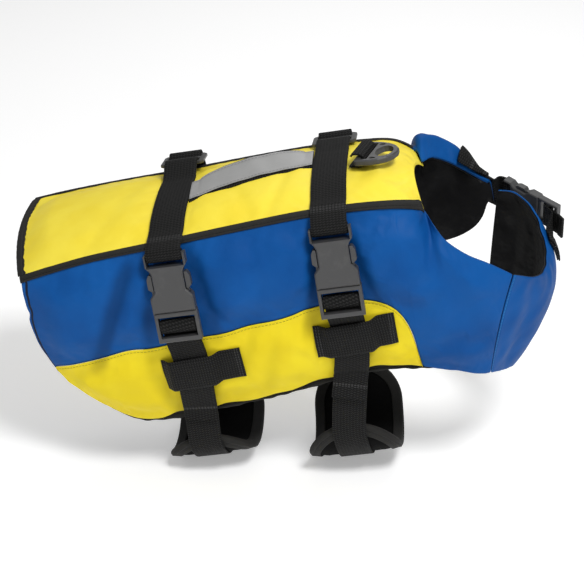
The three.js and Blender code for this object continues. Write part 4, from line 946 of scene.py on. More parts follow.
def back_panel():
    """The back panel: a foam crown between the seams, pressed under the straps, creased beside them."""
    columns = np.concatenate([[0, 0.02], even(lambda s: back_point(s, 0 * s - 1), 0, 9, 104)[1:-1], [8.985, 9]])
    half = through(WALLS[NEAR][:, 0], columns)[:, 1]
    t = rows_of(2 * half, 42)
    w = (1 - 0.2 / half)[:, None] * (2 * t - 1)
    u = np.broadcast_to(columns[:, None], w.shape)
    base = back_point(u, w)
    along, across = lengths_along(base, 0), lengths_along(base, 1)
    far = across[:, -1:] - across
    calm = 1 - smooth((WEB / 2 + 7 - np.abs(base[..., 0:1] - [-60, 55]).min(-1)) / 7)
    rise = back_puff(u, w) + calm * (
        pucker(along, across, 0.9, 0.9, 9) + pucker(along, far, 2.4, 0.9, 9)
        + pucker(across, along, 1.2, 0.6, 8) + pucker(across, along[-1:] - along, 0.2, 0.8, 9)
    )
    creases = [[26, 0.35, 1.1, 5, 0, 0.6], [-20, -0.5, 0.9, 6, 0.1, 0.9], [88, 0.5, 1.3, 6, 0.2, 1], [-100, 0.4, 0.8, 8, 0, 0.8]]
    rise = rise - fold_depth(creases, base[..., 0], base[..., 1] * 0.8 - 70, t)
    outer = lift(base, rise)
    sewn = border(w.shape, 2) | (np.abs(base[..., 0:1] - [-60, 55]).min(-1) < WEB / 2 + 3)
    outer = swell(outer, sewn, 2.6, 0.015)
    # The back takes the lighter copy of the yellow, as painted light on the top that faces the lamps.
    painted_lit_back = nylon("back_nylon", *BACK_CLOTH_PAINTED_LIT, 0.5)
    obj = cloth_wall("back_cover", outer, lift(base, -WALL + 0 * w), [painted_lit_back, lining], "back_panel", "lemon_cloth", rounds=1)
    return obj


# The chest piece and the linings that show
def chest_layer(name, node, materials, slot, high, low, creases):
    """One layer of the chest piece between two heights, with its troughs and fine wrinkles."""
    columns = even(lambda s: chest_point(s, 0 * s + 0.4), 0.002, 6, 84)
    v = np.broadcast_to(np.linspace(0, 1, 44), (85, 44))
    u = np.broadcast_to(columns[:, None], v.shape)
    base = chest_point(u, v)
    along, across = lengths_along(base, 0), lengths_along(base, 1)
    depth = fold_depth([[f[0], 0, *f[1:]] for f in CHEST_FOLDS], u, 0 * u, v) * smooth(u / 0.4)
    fine = creases * (
        ripple(along * 0.8 + across * 0.6, 1.1, 17, 29, 11) * smooth(u / 0.3) * smooth((6 - u) / 0.3)
    )
    wave = 0.5 * ripple(along, 0.6, 26, 15) * np.exp(-across / 9)
    grids = [lift(base, level - depth + fine + wave) for level in (high, low)]
    obj = cloth_wall(name, *grids, materials, node, slot, rounds=1)
    declare_sheet(obj, grids[0])
    return obj


def flap_lining():
    """The lining inside the far shoulder flap, a little slack and creased."""
    first = int(np.argmax(side_point(FAR, far_edge[:, 0], far_edge[:, 1])[:, 0] > 76))
    edge = far_edge[first:]
    u = np.clip(edge[:, 0], 0, 12.988)
    long = rib_length(FAR, u)
    top = 0.2 / long
    bottom = edge[:, 1] - 0.2 * np.hypot(1, edge[:, 2]) / long
    v = top[:, None] + (bottom - top)[:, None] * rows_of(long * (bottom - top), 34)
    uu = np.broadcast_to(u[:, None], v.shape)
    base = side_point(FAR, uu, v)
    along, across = lengths_along(base, 0), lengths_along(base, 1)
    inside = smooth(across / 12) * smooth((across[:, -1:] - across) / 12) * smooth((along[-1:] - along) / 12)
    slack = 0.8 * inside * (1 + ripple(along + across * 0.7, 0.8, 23, 37, 14))
    base, out = rolled(base, v * long[:, None], (edge[:, 1] * long)[:, None])
    grids = [base - out * (WALL + CLEAR + slack + extra)[..., None] for extra in (0, LINING)]
    obj = cloth_wall("flap_lining_cloth", *grids, [lining], "flap_lining", "lining")
    declare_sheet(obj, grids[0])


# Tapes, bindings and facings
def seam_tape(name, side, node, columns=170):
    """Tape over a top seam: flat across it, crowned a little, with a gentle ripple along it."""
    u = even(lambda s: back_point(s, 0 * s + side), 0, 9, columns)
    s = np.array([-1, -0.94, -0.6, -0.2, 0.2, 0.6, 0.94, 1]) * TAPE_HALF - (1.6 if side == NEAR else 0)
    half = through(WALLS[NEAR][:, 0], u)[:, 1]
    on_back = back_point(u[:, None], side * (1 + np.minimum(s, 0) / half[:, None]))
    on_side = side_point(side, u[:, None], np.maximum(s, 0) / rib_length(side, u)[:, None])
    base = np.where((s < 0)[None, :, None], on_back, on_side)
    along = lengths_along(base, 0)
    low = CLEAR + 0.4 * smooth(u - 6)[:, None] + 0 * s
    middle = (s - s.mean()) / TAPE_HALF
    crown = 0.25 * (1 - middle ** 2) + 0.12 * ripple(along, side + 2, 9, 21, 14)
    thick = np.where(np.abs(middle) < 0.99, TAPE_THICK, 0.45)
    outer, inner = lift(base, low + thick + crown), lift(base, low)
    cloth_wall(name, outer, inner, [grosgrain(name + "_grosgrain", (1.3, 6.7))], node, "black_tape")


def carried(name, stations, section, place, material, node, slot, closed=False):
    """A closed section carried along stations: place(stations, section) gives the grid of points.

    The section closes on itself, and the two ends are closed by caps, or joined where the path is a ring.
    """
    grid = place(stations, section)
    n, m = grid.shape[:2]
    a = np.arange(n * m).reshape(n, m)
    following = np.roll(a, -1, axis=1)
    rows = slice(None) if closed else slice(None, -1)
    after = np.roll(a, -1, axis=0)
    faces = [np.stack([a[rows], following[rows], np.roll(following, -1, axis=0)[rows], after[rows]], -1).reshape(-1, 4)]
    if not closed:
        half = m // 2
        for row in (a[0], a[-1][::-1]):
            pairs = np.arange(half - 1)
            faces.append(np.stack([row[pairs], row[m - 1 - pairs], row[m - 2 - pairs], row[pairs + 1]], -1))
    along, across = lengths_along(grid, 0), lengths_along(grid, 1)
    maps = {"cloth": np.stack([along, across], -1).reshape(-1, 2)}
    return piece(name, grid.reshape(-1, 3), faces, maps, [material], node, slot), grid


def rear_binding():
    """Tape folded over the rear edge of the back: a thin folded section carried across it."""
    high, deep = CLEAR + TAPE_THICK, -WALL - CLEAR - TAPE_THICK
    section = np.array([
        [5.2, CLEAR], [5.2, high - 0.2], [4.6, high + 0.05], [1.8, high + 0.3], [-0.6, high + 0.1], [-1.5, high - 0.8],
        [-1.8, -1.5], [-1.5, deep + 0.8], [-0.6, deep], [5.2, deep], [5.2, deep + 0.6], [2, -WALL - CLEAR],
        [-CLEAR, -WALL - CLEAR], [-CLEAR, -1.5], [-CLEAR, CLEAR], [2, CLEAR],
    ])
    stations = even(lambda w: back_point(0 * w, w), -0.925, 0.925, 130)

    def place(w, corners):
        edge = back_point(0 * w, w)
        along = unit(back_point(0 * w + 0.15, w) - edge)
        gather = 1 + 0.08 * ripple(w * 62, 0.5, 7, 17)
        inward = edge[:, None] + along[:, None] * (corners[:, 0] * gather[:, None])[..., None]
        return lift(inward, corners[:, 1] + 0 * inward[..., 0])

    obj, grid = carried(
        "rear_edge_binding", stations, section, place, grosgrain("rear_grosgrain", (2.1,)), "rear_binding", "black_tape")


def hem_facing(name, side, node, last):
    """The facing inside a hem, which hangs unevenly below it."""
    u = even(lambda s: side_point(side, s, 0 * s + 1), 0.05, last, 190)
    long = rib_length(side, u)
    foot = side_point(side, u, 1 + 0 * u)
    drop = 2.2 + 0.5 * hem_rise(foot[:, 0]) + 0.6 * ripple(lengths_along(foot[:, None], 0)[:, 0], 1.4 + side, 12, 19)
    drop = drop * (1 - 0.75 * smooth((foot[:, 0] - 92) / 26)) * (0.75 + 0.25 * smooth((foot[:, 0] + 150) / 40))
    t = np.array([-8, -4, -1, 0.2, 0.5, 0.85, 1])
    down = np.where(t < 0, t, t * drop[:, None])
    base = side_point(side, u[:, None], 1 + down / long[:, None])
    hang = 0.5 * smooth(down / 3) * ripple(lengths_along(base, 0), 0.9 + side, 14, 25, 9)
    high = -WALL - CLEAR + 2.4 * smooth((down - 0.3) / 1.5)
    outer = lift(base, high + hang * 0.6)
    inner = lift(base, high - TAPE_THICK + hang * 0.6)
    obj = cloth_wall(name, outer, inner, [grosgrain(name + "_grosgrain", (9.5,))], node, "black_tape")
    declare_sheet(obj, outer)


# Webbing
def curve_of(controls, step):
    """A centripetal Catmull-Rom curve through the controls, as points about one step apart, and each one's
    place among the controls."""
    p = np.asarray(controls, float)
    p = np.concatenate([[2 * p[0] - p[1]], p, [2 * p[-1] - p[-2]]])
    gaps = np.sqrt(np.maximum(np.linalg.norm(np.diff(p, axis=0), axis=-1), 1e-4))
    points, places = [], []
    for k in range(len(p) - 3):
        x0, x1, x2, x3 = p[k:k + 4]
        d0, d1, d2 = gaps[k:k + 3]
        first = ((x1 - x0) / d0 - (x2 - x0) / (d0 + d1) + (x2 - x1) / d1) * d1
        second = ((x2 - x1) / d1 - (x3 - x1) / (d1 + d2) + (x3 - x2) / d2) * d1
        t = np.arange(24)[:, None] / 24
        points.append(
            x1 + first * t + (-3 * x1 + 3 * x2 - 2 * first - second) * t ** 2
            + (2 * x1 - 2 * x2 + first + second) * t ** 3)
        places.append(k + t[:, 0])
    points.append(p[-2:-1])
    places.append([len(p) - 3])
    points, places = np.concatenate(points), np.concatenate(places)
    length = lengths_along(points[:, None], 0)[:, 0]
    marks = np.linspace(0, length[-1], max(8, int(length[-1] / step)) + 1)
    path = np.stack([np.interp(marks, length, points[:, i]) for i in range(3)], -1)
    return path, np.interp(marks, length, places)


ACROSS_WEB = np.array([-1, -0.985, -0.94, -0.6, -0.2, 0.2, 0.6, 0.94, 0.985, 1])
WEB_BODY = np.array([0.35, 0.8, 1, 1, 1, 1, 1, 1, 0.8, 0.35]) / 2


def ribbon_middle(controls, across, width, step=1.5):
    """The middle layer of webbing carried along a curve, across being the way of its width."""
    path, places = curve_of(controls, step)
    across = np.asarray(across, float)
    if across.ndim == 2:
        k = np.minimum(np.floor(places).astype(int), len(across) - 2)
        across = across[k] + (across[k + 1] - across[k]) * (places - k)[:, None]
    else:
        across = np.broadcast_to(across, path.shape)
    tangent = unit(np.gradient(path, axis=0))
    out = unit(np.cross(across, tangent))
    flat = unit(np.cross(tangent, out))
    length = lengths_along(path[:, None], 0)[:, 0]
    edge = width / 2 * (1 - 0.008 * np.abs(ripple(length, 0.7, 5, 11)))
    return path[:, None] + flat[:, None] * (ACROSS_WEB * edge[:, None])[..., None]


def joined(first, second, rows=10):
    """Two runs of webbing with a smooth curve between them that leaves and meets them along their own way."""
    way_a, way_b = unit(first[-1] - first[-3]), unit(second[2] - second[0])
    reach = np.linalg.norm(second[0] - first[-1], axis=-1, keepdims=True)
    t = np.linspace(0, 1, rows + 2)[1:-1, None, None]
    between = (
        first[-1] * (2 * t ** 3 - 3 * t ** 2 + 1) + second[0] * (3 * t ** 2 - 2 * t ** 3)
        + way_a * reach * (t ** 3 - 2 * t ** 2 + t) + way_b * reach * (t ** 3 - t ** 2)
    )
    return np.concatenate([first, between, second])


def strip(name, middle, thick, material, node, slot="webbing", bars=(), hem=0):
    """Webbing on a middle layer: a thin section with rounded edges.

    bars are places along it, in millimetres, where it is sewn through; hem is the length of a tail end that
    is folded over and sewn.
    """
    out = unit(np.cross(np.gradient(middle, axis=1), np.gradient(middle, axis=0)))
    length = lengths_along(middle, 0)[:, 4]
    up = np.broadcast_to(WEB_BODY * thick, middle.shape[:2])
    if hem:
        up = up + 0.75 * smooth((length - length[-1] + hem) / 1.5)[:, None]
    outer, inner = middle + out * up[..., None], middle - out * (WEB_BODY * thick)[:, None]
    near = np.full(length.shape, 50.0)
    for bar in bars:
        near = np.minimum(near, np.abs(length - bar))
    wide = lengths_along(middle, 1)
    extra = {"bars": np.tile(np.stack(np.broadcast_arrays(near[:, None], wide), -1).reshape(-1, 2), (2, 1))}
    obj = cloth_wall(name, outer, inner, [material], node, slot, extra=extra)
    return obj, middle


def ribbon(name, controls, across, width, thick, material, node, bars=(), step=1.5, hem=0):
    return strip(name, ribbon_middle(controls, across, width, step), thick, material, node, bars=bars, hem=hem)


def frame_of(origin, across, along):
    out = unit(np.cross(across, along))
    return dict(o=np.asarray(origin, float), a=unit(np.cross(along, out)), b=unit(np.asarray(along, float)), n=out)


def in_frame(f, x, y, z):
    return f["o"] + f["a"] * x + f["b"] * y + f["n"] * z


def seat_on_side(x, top_z):
    """The stiff frame of a buckle on the near wall, clear of the cloth and its own webbing."""
    marks = np.array([0, 0.15, 0.3, 0.45, 0.6, 0.75, 0.85, 0.95, 1])
    need = 1 + 3.9 * smooth((marks - 0.6) / 0.3)
    reach = BUCKLE_HALF / WEB * 2
    heights = top_z - BUCKLE_LONG * 0.985 * marks
    skin = side_skin(NEAR, x + ACROSS[:, None] * reach, heights, 0)
    high, low = skin[2, 0], skin[2, -1]
    along = unit(np.array([0, high[1] - low[1] - need[0] + need[-1], high[2] - low[2]]))
    f = frame_of(high, [1, 0, 0], along)
    push = ((skin - high) @ f["n"] + need).max()
    f["o"] = high + f["n"] * push
    return f


def pad_arc(girth, t):
    angle = math.pi * (np.asarray(t, float) - 0.5)
    point = np.stack([
        girth["belly"] + 0 * angle, PAD_REACH * np.sin(angle), girth["top"] - girth["deep"] * np.cos(angle)], -1)
    out = unit(np.stack([0 * angle, np.sin(angle) / PAD_REACH, -np.cos(angle) / girth["deep"]], -1))
    return point, out


def belly_pad(key, girth):
    """A pad bent in a U: rings of a stadium shape from its bound edge to its middle line, on both faces.

    Each ring is the edge moved in by a distance; the thickness grows with that distance. The face then gets a soft
    ripple, and a folded binding is carried round the edge.
    """
    half = girth["half"]
    fine = np.linspace(0, 1, 2000)
    length = lengths_along(pad_arc(girth, fine)[0][:, None], 0)[:, 0]
    whole = length[-1] - 1.8

    def on_pad(gone, x, rise):
        point, out = pad_arc(girth, np.interp(gone + 0.9, length, fine))
        return point + [1, 0, 0] * x[..., None] + out * np.asarray(rise)[..., None]

    turn = np.linspace(0, math.pi, 37)
    run = np.linspace(half, whole - half, 34)[1:-1]
    edge_gone = np.concatenate([half - half * np.sin(turn), run, whole - half + half * np.sin(turn), run[::-1]])
    edge_x = np.concatenate([-np.cos(turn), 0 * run + 1, np.cos(turn), 0 * run - 1])
    centre = np.clip(edge_gone, half, whole - half)

    def ring(d):
        return centre + (edge_gone - centre) * (half - d) / half, edge_x * (half - d)

    steps = np.concatenate([[0, 0.8], np.linspace(2, half, 13)])
    steps[-1] = half - 0.01
    gone, x = (np.stack(part) for part in zip(*(ring(d) for d in steps)))
    depth = np.broadcast_to(steps[:, None], gone.shape)
    along = lengths_along(on_pad(gone, x, 0 * gone), 1)
    thick = PAD_EDGE + (PAD_THICK - PAD_EDGE) * smooth(depth / (2 * PAD_BIND))
    soft = 0.35 * smooth((depth - PAD_BIND) / 8) * ripple(along + depth, 1.1, 31, 19)
    faces = [on_pad(gone, x, sign * (thick / 2 + soft)) for sign in (1, -1)]
    n, m = gone.shape
    a = np.arange(n * m).reshape(n, m)
    b = a + n * m
    following = np.roll(a, -1, axis=1)
    under = following + n * m
    quads = [
        np.stack([a[:-1], following[:-1], following[1:], a[1:]], -1).reshape(-1, 4),
        np.stack([b[:-1], b[1:], under[1:], under[:-1]], -1).reshape(-1, 4),
        np.stack([a[0], b[0], under[0], following[0]], -1).reshape(-1, 4),
    ]
    points = np.concatenate([f.reshape(-1, 3) for f in faces])
    cloth = np.tile(np.stack([gone, x], -1).reshape(-1, 2), (2, 1))
    obj = piece(
        f"belly_pad_{key}_cover", points, quads, {"cloth": cloth}, [pad_knit], f"belly_pad_{key}", "pad_cloth")
    close_middle(obj, (n - 1) * m, m, n * m)

    reach = PAD_EDGE / 2
    section = np.array([
        [PAD_BIND, reach + 0.25], [PAD_BIND, reach + 1], [PAD_BIND - 0.8, reach + 1.2], [2, reach + 0.9],
        [0, reach + 0.75], [-1, reach * 0.6], [-1.2, 0], [-1, -reach * 0.6], [0, -reach - 0.75], [2, -reach - 0.9],
        [PAD_BIND - 0.8, -reach - 1.2], [PAD_BIND, -reach - 1], [PAD_BIND, -reach - 0.25], [2, -reach - 0.2],
        [-0.25, -reach], [-0.3, 0], [-0.25, reach], [2, reach + 0.2],
    ])

    def place(stations, corners):
        gone, x = (np.stack(part, 1) for part in zip(*(ring(d) for d in corners[:, 0])))
        swollen = (PAD_THICK - PAD_EDGE) / 2 * smooth(np.maximum(corners[:, 0], 0) / (2 * PAD_BIND))
        rise = corners[:, 1] + np.sign(corners[:, 1]) * swollen
        return on_pad(gone, x, rise + 0 * gone)

    carried(f"belly_pad_{key}_binding", None, section, place, pad_tape, None, "black_tape", closed=True)


def close_middle(obj, first, count, total):
    """Closes a pad's two faces along the middle line, where the last ring lies doubled on itself."""
    mesh = obj.data
    co = np.empty(len(mesh.vertices) * 3)
    mesh.vertices.foreach_get("co", co)
    co = co.reshape(-1, 3)
    polygons = [tuple(p.vertices) for p in mesh.polygons]
    turned = [list(range(first, first + count)), list(range(first + total, first + total + count))]
    maps = {layer.name: None for layer in mesh.uv_layers}
    values = np.empty(len(mesh.loops) * 2)
    mesh.uv_layers["cloth"].data.foreach_get("uv", values)
    index = np.empty(len(mesh.loops), np.int32)
    mesh.loops.foreach_get("vertex_index", index)
    by_point = np.zeros((len(co), 2))
    by_point[index] = values.reshape(-1, 2)
    arc = 37
    straight = (count - 2 * arc) // 2
    for ring in turned:
        near = ring[:arc] + ring[arc:arc + straight] + ring[arc + straight:2 * arc + straight] + ring[2 * arc + straight:]
        first_cap, last_cap = near[:arc], near[arc + straight:2 * arc + straight]
        polygons.append(tuple(first_cap))
        polygons.append(tuple(last_cap))
        there = [first_cap[-1]] + near[arc:arc + straight] + [last_cap[0]]
        back = [first_cap[0]] + near[2 * arc + straight:][::-1] + [last_cap[-1]]
        for i in range(len(there) - 1):
            polygons.append((there[i], there[i + 1], back[i + 1], back[i]))
    mesh.clear_geometry()
    mesh.from_pydata(co, [], polygons)
    mesh.polygons.foreach_set("use_smooth", np.ones(len(polygons), bool))
    add_map(mesh, "cloth", by_point)
    import bmesh
    rebuilt = bmesh.new()
    rebuilt.from_mesh(mesh)
    bmesh.ops.recalc_face_normals(rebuilt, faces=rebuilt.faces)
    rebuilt.to_mesh(mesh)
    rebuilt.free()


def girth_set(key, girth):
    """One girth strap: over the back to the buckle, under the belly, and up to the plug with its tail."""
    x = girth["x"]
    f = seat_on_side(x, girth["buckle"])
    middle = WEB_THICK / 2
    upper = [in_frame(f, 0, y, z) for y, z in TOP_LOOP]
    upper += [strap_on(back_skin, x, w, STRAP_GAP + middle) for w in (-0.95, -0.8, -0.6, -0.4, -0.2, 0, 0.2, 0.34)]
    tilt = math.radians(SLIDER["tilt"])
    slide = frame_of(
        [girth["slider"], SLIDER["y"], SLIDER["rise"]], [-1, 0, 0], [0, math.cos(tilt), -math.sin(tilt)])
    long, bar = SLIDER["long"], SLIDER["bar"]
    under, over = -CLEAR - middle - 0.3, SLIDER["thick"] + CLEAR + middle
    for y, z in [[-long / 2, under], [-long / 2 + bar + 0.4, under], [-bar / 2 - 0.6, over], [bar / 2 + 0.6, over],
                 [long / 2 - bar - 0.4, under], [long / 2, under - 0.2]]:
        upper.append(in_frame(slide, girth["slider"] - x, y, z))
    far_side = lambda px, z, rise: side_skin(FAR, px, z, rise)
    upper += [strap_on(far_side, x, z, STRAP_GAP + middle) for z in (-22, -36, -50, -64, -76, -88, -98.5)]
    node = f"girth_strap_{key}"
    obj, grid = ribbon(node + "_upper_web", upper, [1, 0, 0], WEB, WEB_THICK, barred_web, node + "_upper", bars=(30, 33))
    declare_sheet(obj, grid)

    drift = lambda z: x + (girth["belly"] - x) * smooth((-z - 90) / 90)

    def beside(side, z, distance):
        return strap_on(lambda px, height, rise: side_skin(side, px, height, rise), drift(z), z, distance)

    hem_z = float(side_point(NEAR, locate(NEAR, x, -140)[0], 1)[2])
    belly = [beside(FAR, z, STRAP_GAP + 0.5 + middle) for z in (-100.5, -112, -124, hem_z + 3)]
    for t in (0.97, 0.86, 0.74, 0.62, 0.5, 0.38, 0.26, 0.14, 0.03):
        point, out = pad_arc(girth, t)
        belly.append(point + out * (PAD_THICK / 2 + 0.5 + middle))
    belly.append(beside(NEAR, hem_z + 1, STRAP_GAP + 0.5 + middle))
    obj, grid = ribbon(node + "_belly_web", belly, [1, 0, 0], WEB, WEB_THICK, strap_web, node + "_belly")
    declare_sheet(obj, grid)

    second = STRAP_GAP + WEB_THICK + CLEAR
    low = girth["keeper_z"] - KEEPER_HIGH / 2
    down = [low + KEEPER_HIGH, girth["keeper_z"], low, (low + hem_z) / 2, hem_z + 5]
    near = [beside(NEAR, z, STRAP_GAP + middle) for z in down][::-1]
    near += [in_frame(f, 0, y, z) for y, z in PLUG_LOOP]
    near += [beside(NEAR, z, second + middle) for z in down]
    near.append(near[-1] + [drift(girth["tail"]) - drift(hem_z + 5), -0.5, girth["tail"] - hem_z - 5])
    obj, grid = ribbon(
        node + "_near_web", near, [1, 0, 0], WEB, WEB_THICK, barred_web, node + "_near", hem=13,
        bars=(float(lengths_along(curve_of(near, 1.5)[0][:, None], 0)[-1, 0]) - 12,))
    declare_sheet(obj, grid)
    keeper(f"keeper_{key}_near", NEAR, girth, drift, STRAP_GAP + 2 * (WEB_THICK + CLEAR))
    keeper(f"keeper_{key}_far", FAR, girth, drift, STRAP_GAP + WEB_THICK + 2 * CLEAR)
    belly_pad(key, girth)


def keeper(node, side, girth, drift, over):
    """Webbing sewn across a strap: flat on the panel at its ends and raised over the strap."""
    columns, rows = 58, 13
    skin = lambda px, z, rise: side_skin(side, px, z, rise)
    x = girth["keeper"] + KEEPER_LONG * (np.linspace(0, 1, columns + 1) - 0.5)
    t = np.linspace(0, 1, rows + 1)
    z = girth["keeper_z"] + KEEPER_HIGH * (0.5 - t)[None, :] + 0.05 * (x - girth["keeper"])[:, None]
    strap_x = drift(z)
    xx = np.broadcast_to(x[:, None], z.shape)
    bump = 1 - smooth((np.abs(xx - strap_x) - WEB / 2 - 2) / 7)
    middle = skin(strap_x, z, 0)
    out = unit(skin(strap_x, z, 1) - middle)
    shifted = np.stack([skin(strap_x + off, z, 0) for off in ACROSS])
    high = np.einsum("kijc,ijc->kij", shifted - middle, out).max(0)
    frayed = np.array([0.3, *np.ones(rows - 1), 0.3])

    def layer(thick):
        raised = middle + out * (high + over + thick)[..., None]
        raised[..., 0] += xx - strap_x
        return skin(xx, z, (0.6 + thick)[..., None]) * (1 - bump)[..., None] + raised * bump[..., None]

    rim = np.minimum(frayed[None, :], np.where((np.arange(columns + 1) % columns == 0)[:, None], 0.4, 1))
    outer, inner = layer(0.75 + 0.75 * rim), layer(0.75 - 0.75 * rim)
    near = np.minimum(np.abs(xx - x[0] - 3), np.abs(x[-1] - 3 - xx))
    extra = {"bars": np.tile(np.stack([near, z], -1).reshape(-1, 2), (2, 1))}
    obj = cloth_wall(node + "_web", outer, inner, [barred_web], node, "webbing", extra=extra)
    declare_sheet(obj, outer)


def handle_strip(name, node, half, low, thick, material, slot):
    """The lifting handle: a bowed strip, turned a little on its way, that rises off the back between straps."""
    t = np.linspace(0, 1, 90)[:, None]
    s = np.array([-1, -0.985, -0.93, -0.6, -0.2, 0.2, 0.6, 0.93, 0.985, 1])[None, :]
    x = HANDLE["start"] + (HANDLE["end"] - HANDLE["start"]) * t
    middle = HANDLE["rear"] + (HANDLE["front"] - HANDLE["rear"]) * t
    across = half * s
    y = middle + across
    flat = np.maximum(0, np.sin(math.pi * np.clip((t - 0.07) / 0.86, 0, 1)))
    rear, front = HANDLE["twist"]
    twist = np.radians(rear + (front - rear) * t) * (0.35 + 0.65 * flat ** 0.4) * across
    skin = back_skin(x + 0 * s, y / HALF_BACK, 0)[..., 2]
    crown = back_skin(x + 0 * s, middle / HALF_BACK + 0 * s, 0)[..., 2]
    level = crown + (skin - crown) * (1 - flat * 0.6)
    wave = 0.35 * flat * ripple(x + 0.4 * y, 0.7, 19, 31)
    height = level + 1 + HANDLE["bow"] * flat ** 0.7 + twist + wave
    body = np.where(np.abs(s) > 0.99, 0.35, np.where(np.abs(s) > 0.95, 0.8, 1)) * thick / 2
    grids = [
        np.stack(np.broadcast_arrays(x, y, height + low + thick / 2 + sign * body), -1) for sign in (1, -1)]
    obj = cloth_wall(name, *grids, [material], node, slot)
    declare_sheet(obj, grids[0])


def ring_loop():
    """The loop of webbing round the ring's bar."""
    x, y = RING["x"], RING["y"]
    seat = back_skin(x, y / HALF_BACK, RING["loop"] + WEB_THICK / 2 + 0.6)
    yaw = math.radians(RING["yaw"])
    ahead = back_skin(x + 8, y / HALF_BACK, 0) - back_skin(x - 8, y / HALF_BACK, 0)
    forward = unit(np.array([math.cos(yaw), math.sin(yaw), math.cos(yaw) * ahead[2] / ahead[0]]))
    bar = np.array([-math.sin(yaw), math.cos(yaw), 0])
    f = dict(o=seat, a=forward, b=bar, n=unit(np.cross(forward, bar)))
    r = RING["loop"]
    reach = seat[0] - RING["start"] - (WEB - 1) / 2 * math.sin(-yaw)
    turn = [[r * math.cos(math.radians(a)), r * math.sin(math.radians(a))] for a in (-80, -45, 0, 45, 80)]
    profile = [[-reach + 0.6, -r], [-reach / 2, -r], *turn, [-reach / 2, r - 0.4], [-reach + 3, r - 1.6]]
    points = [in_frame(f, px, 0, z) for px, z in profile]
    obj, grid = ribbon(
        "ring_loop_web", points, -f["b"], WEB - 1, WEB_THICK, barred_web, "ring_loop", bars=(5,), step=0.9)
    declare_sheet(obj, grid)


def neck_closure():
    """The far neck closure: a strap from the flap, and one round the plug with its patch, tab and tail."""
    down, web, scale = NECK["down"], NECK["web"], NECK["scale"]

    def chest_skin(place, u, rise):
        v = np.asarray(place, float) / NECK["rib"]
        normal = normal_of(lambda du, dv: chest_point(u + du, v + dv), -1)
        return chest_point(u, v) + rise * normal

    start, end = chest_skin(down, NECK["start"], 0), chest_skin(down, NECK["end"], 0)
    halfway = (NECK["start"] + NECK["end"]) / 2
    out = chest_skin(down, halfway, 1) - chest_skin(down, halfway, 0)
    f = frame_of((start + end) / 2, np.cross(start - end, out), start - end)
    push = -100
    for t in np.linspace(0, 1, 11):
        places = np.maximum(0, down + np.array([-web / 2, 0, web / 2]))
        there = chest_skin(places, NECK["start"] + (NECK["end"] - NECK["start"]) * t, 0)
        push = max(push, ((there - f["o"]) @ f["n"]).max())
    f["o"] = f["o"] + f["n"] * (push + NECK["seat"]) + f["b"] * BUCKLE_LONG * scale / 2
    thick = WEB_THICK * scale
    small = lambda rows: [in_frame(f, 0, y * scale, z * scale) for y, z in rows]
    on_flap = lambda rows, rise: [flap_skin(u, t, np.float64(rise + thick / 2)) for u, t in rows]
    s = ACROSS_WEB[None, :]

    def on_flap(first, last, wide, rise):
        """Rows of points across the flap, laid on it from one place to another."""
        u = np.linspace(first, last, 22)[:, None]
        turn = np.sign((flap_skin(12, 18, 0.0) - flap_skin(12, 8, 0.0)) @ f["a"])
        return flap_skin(u + 0 * s, 12.5 + turn * s * wide / 2, rise + thick / 2)

    def on_chest(first, last, wide, rise):
        u = np.linspace(first, last, 16)[:, None] + 0 * s
        return np.stack([chest_skin(down + s[0] * wide / 2, row, (rise + thick / 2)) for row in u])

    strap = joined(ribbon_middle(small(TOP_LOOP + [[5, 6]]), f["a"], web, 1.1), on_flap(12.93, 11.4, web, STRAP_GAP))
    obj, grid = strip("neck_strap_web", strap, thick, strap_web, "neck_strap")
    declare_sheet(obj, grid)
    patch = on_flap(12.75, 11.3, web + 3, STRAP_GAP + thick + 2 * CLEAR)
    obj, grid = strip("neck_patch_web", patch, thick, barred_web, "neck_patch", bars=(2.5, 16))
    declare_sheet(obj, grid)

    loop = ribbon_middle(small(PLUG_LOOP[1:-1] + [[-65.5, -2.4], [-71, -3], [-77, -4.6]]), f["a"], web, 1.1)
    strap = joined(on_chest(3, 3.35, web, STRAP_GAP), loop)
    obj, grid = strip("neck_strap_front_web", strap, thick, strap_web, "neck_strap_front", hem=6)
    declare_sheet(obj, grid)
    tab = on_chest(3.04, 3.24, web + 4, STRAP_GAP + thick + CLEAR)
    obj, grid = strip("neck_tab_web", tab, thick, barred_web, "neck_tab", bars=(1.5,))
    declare_sheet(obj, grid)


pad_knit = knit("pad_knit")
pad_tape = grosgrain("pad_grosgrain", (5.2,))

back_panel()
side_panel("side_cover_near", NEAR, "side_panel_right", 38, 3.2, 0.02)
side_panel("side_cover_far", FAR, "side_panel_left", 38, 3.2, 0.02)
lower_panel("lower_cover_near", NEAR, "lower_panel_right")
lower_panel("lower_cover_far", FAR, "lower_panel_left")
chest_blue = nylon("chest_nylon", *BLUE, 0.55, rows=ROWS["chest"], thread_colour=(0.02, 0.24, 0.5))
chest_layer("chest_cover", "chest_panel", [chest_blue], "blue_cloth", 0, -CLOTH, 0.8)
chest_layer(
    "chest_lining_cloth", "chest_lining", [lining], "lining", -CLOTH - 0.4, -CLOTH - 0.4 - LINING, 0.8)
flap_lining()
seam_tape("seam_tape_near_cloth", NEAR, "seam_tape_right")
seam_tape("seam_tape_far_cloth", FAR, "seam_tape_left")
rear_binding()
hem_facing("hem_facing_near_cloth", NEAR, "hem_facing_right", 13.9)
hem_facing("hem_facing_far_cloth", FAR, "hem_facing_left", 7.1)
for key, girth in GIRTHS.items():
    girth_set(key, girth)
handle_strip("handle_web", "handle", HANDLE["half"], 0, WEB_THICK, strap_web, "webbing")
handle_strip(
    "handle_reflective", "handle_tape", HANDLE["tape"], WEB_THICK + 0.3, HANDLE["tape_thick"],
    reflective("reflective_tape", HANDLE["tape"]), "reflective_tape")
ring_loop()
neck_closure()

# The moulded pieces keep their CAD shape
for name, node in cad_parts.items():
    if not node.hide_render:
        node.data.materials.clear()
        node.data.materials.append(moulding)


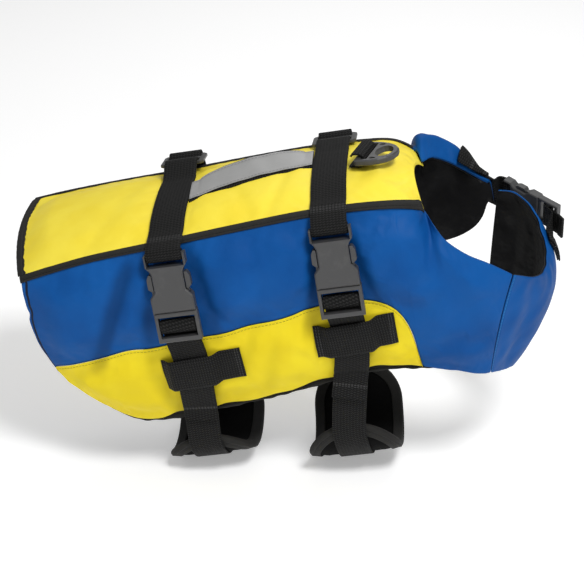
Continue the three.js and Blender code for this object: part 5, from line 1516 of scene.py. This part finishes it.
# Floor, light and camera
def floor():
    """A wide pale floor just below the belly pads."""
    low = float(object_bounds()[0][2]) - 0.002
    mesh = bpy.data.meshes.new("floor")
    mesh.from_pydata([(-6, -6, low), (6, -6, low), (6, 6, low), (-6, 6, low)], [], [(0, 1, 2, 3)])
    obj = bpy.data.objects.new("floor", mesh)
    bpy.context.scene.collection.objects.link(obj)
    pale = Finish("pale_floor", 0.9)
    pale.shader.inputs["Base Color"].default_value = (0.92, 0.92, 0.92, 1)
    pale.shader.inputs["Emission Color"].default_value = (1, 1, 1, 1)
    pale.shader.inputs["Emission Strength"].default_value = 0.3
    mesh.materials.append(pale.material)
    obj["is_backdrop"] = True


def light(name, place, aim, size, power):
    data = bpy.data.lights.new(name, "AREA")
    data.size, data.energy = size, power
    obj = bpy.data.objects.new(name, data)
    bpy.context.scene.collection.objects.link(obj)
    obj.location = place
    obj.rotation_mode = "QUATERNION"
    obj.rotation_quaternion = (Vector(aim) - Vector(place)).to_track_quat("-Z", "Y")


def camera():
    """The photograph's viewing angle: a little ahead of the side, 28 degrees above it."""
    azimuth, elevation = math.radians(4), math.radians(28)
    back = Vector((
        math.sin(azimuth) * math.cos(elevation), -math.cos(azimuth) * math.cos(elevation), math.sin(elevation)))
    data = bpy.data.cameras.new("camera")
    data.lens = 94.2
    obj = bpy.data.objects.new("camera", data)
    bpy.context.scene.collection.objects.link(obj)
    obj.location = (0.0957, -1.0016, 0.4481)
    obj.rotation_mode = "QUATERNION"
    obj.rotation_quaternion = (-back).to_track_quat("-Z", "Y")
    bpy.context.scene.camera = obj


floor()
light("key", (0.5, -0.85, 1.3), (0, 0, -0.08), 0.4, 20.5)
light("fill", (-1.0, -1.3, 0.9), (0.02, 0, -0.08), 1.2, 3)
light("rim", (0.2, 1.2, 1.0), (0, 0, -0.05), 1.0, 6)
camera()
world = bpy.data.worlds.new("studio")
bpy.context.scene.world = world
world.use_nodes = True
background = world.node_tree.nodes["Background"]
background.inputs["Color"].default_value = (1, 1, 1, 1)
background.inputs["Strength"].default_value = 0.28
bpy.context.scene.view_settings.view_transform = "Standard"
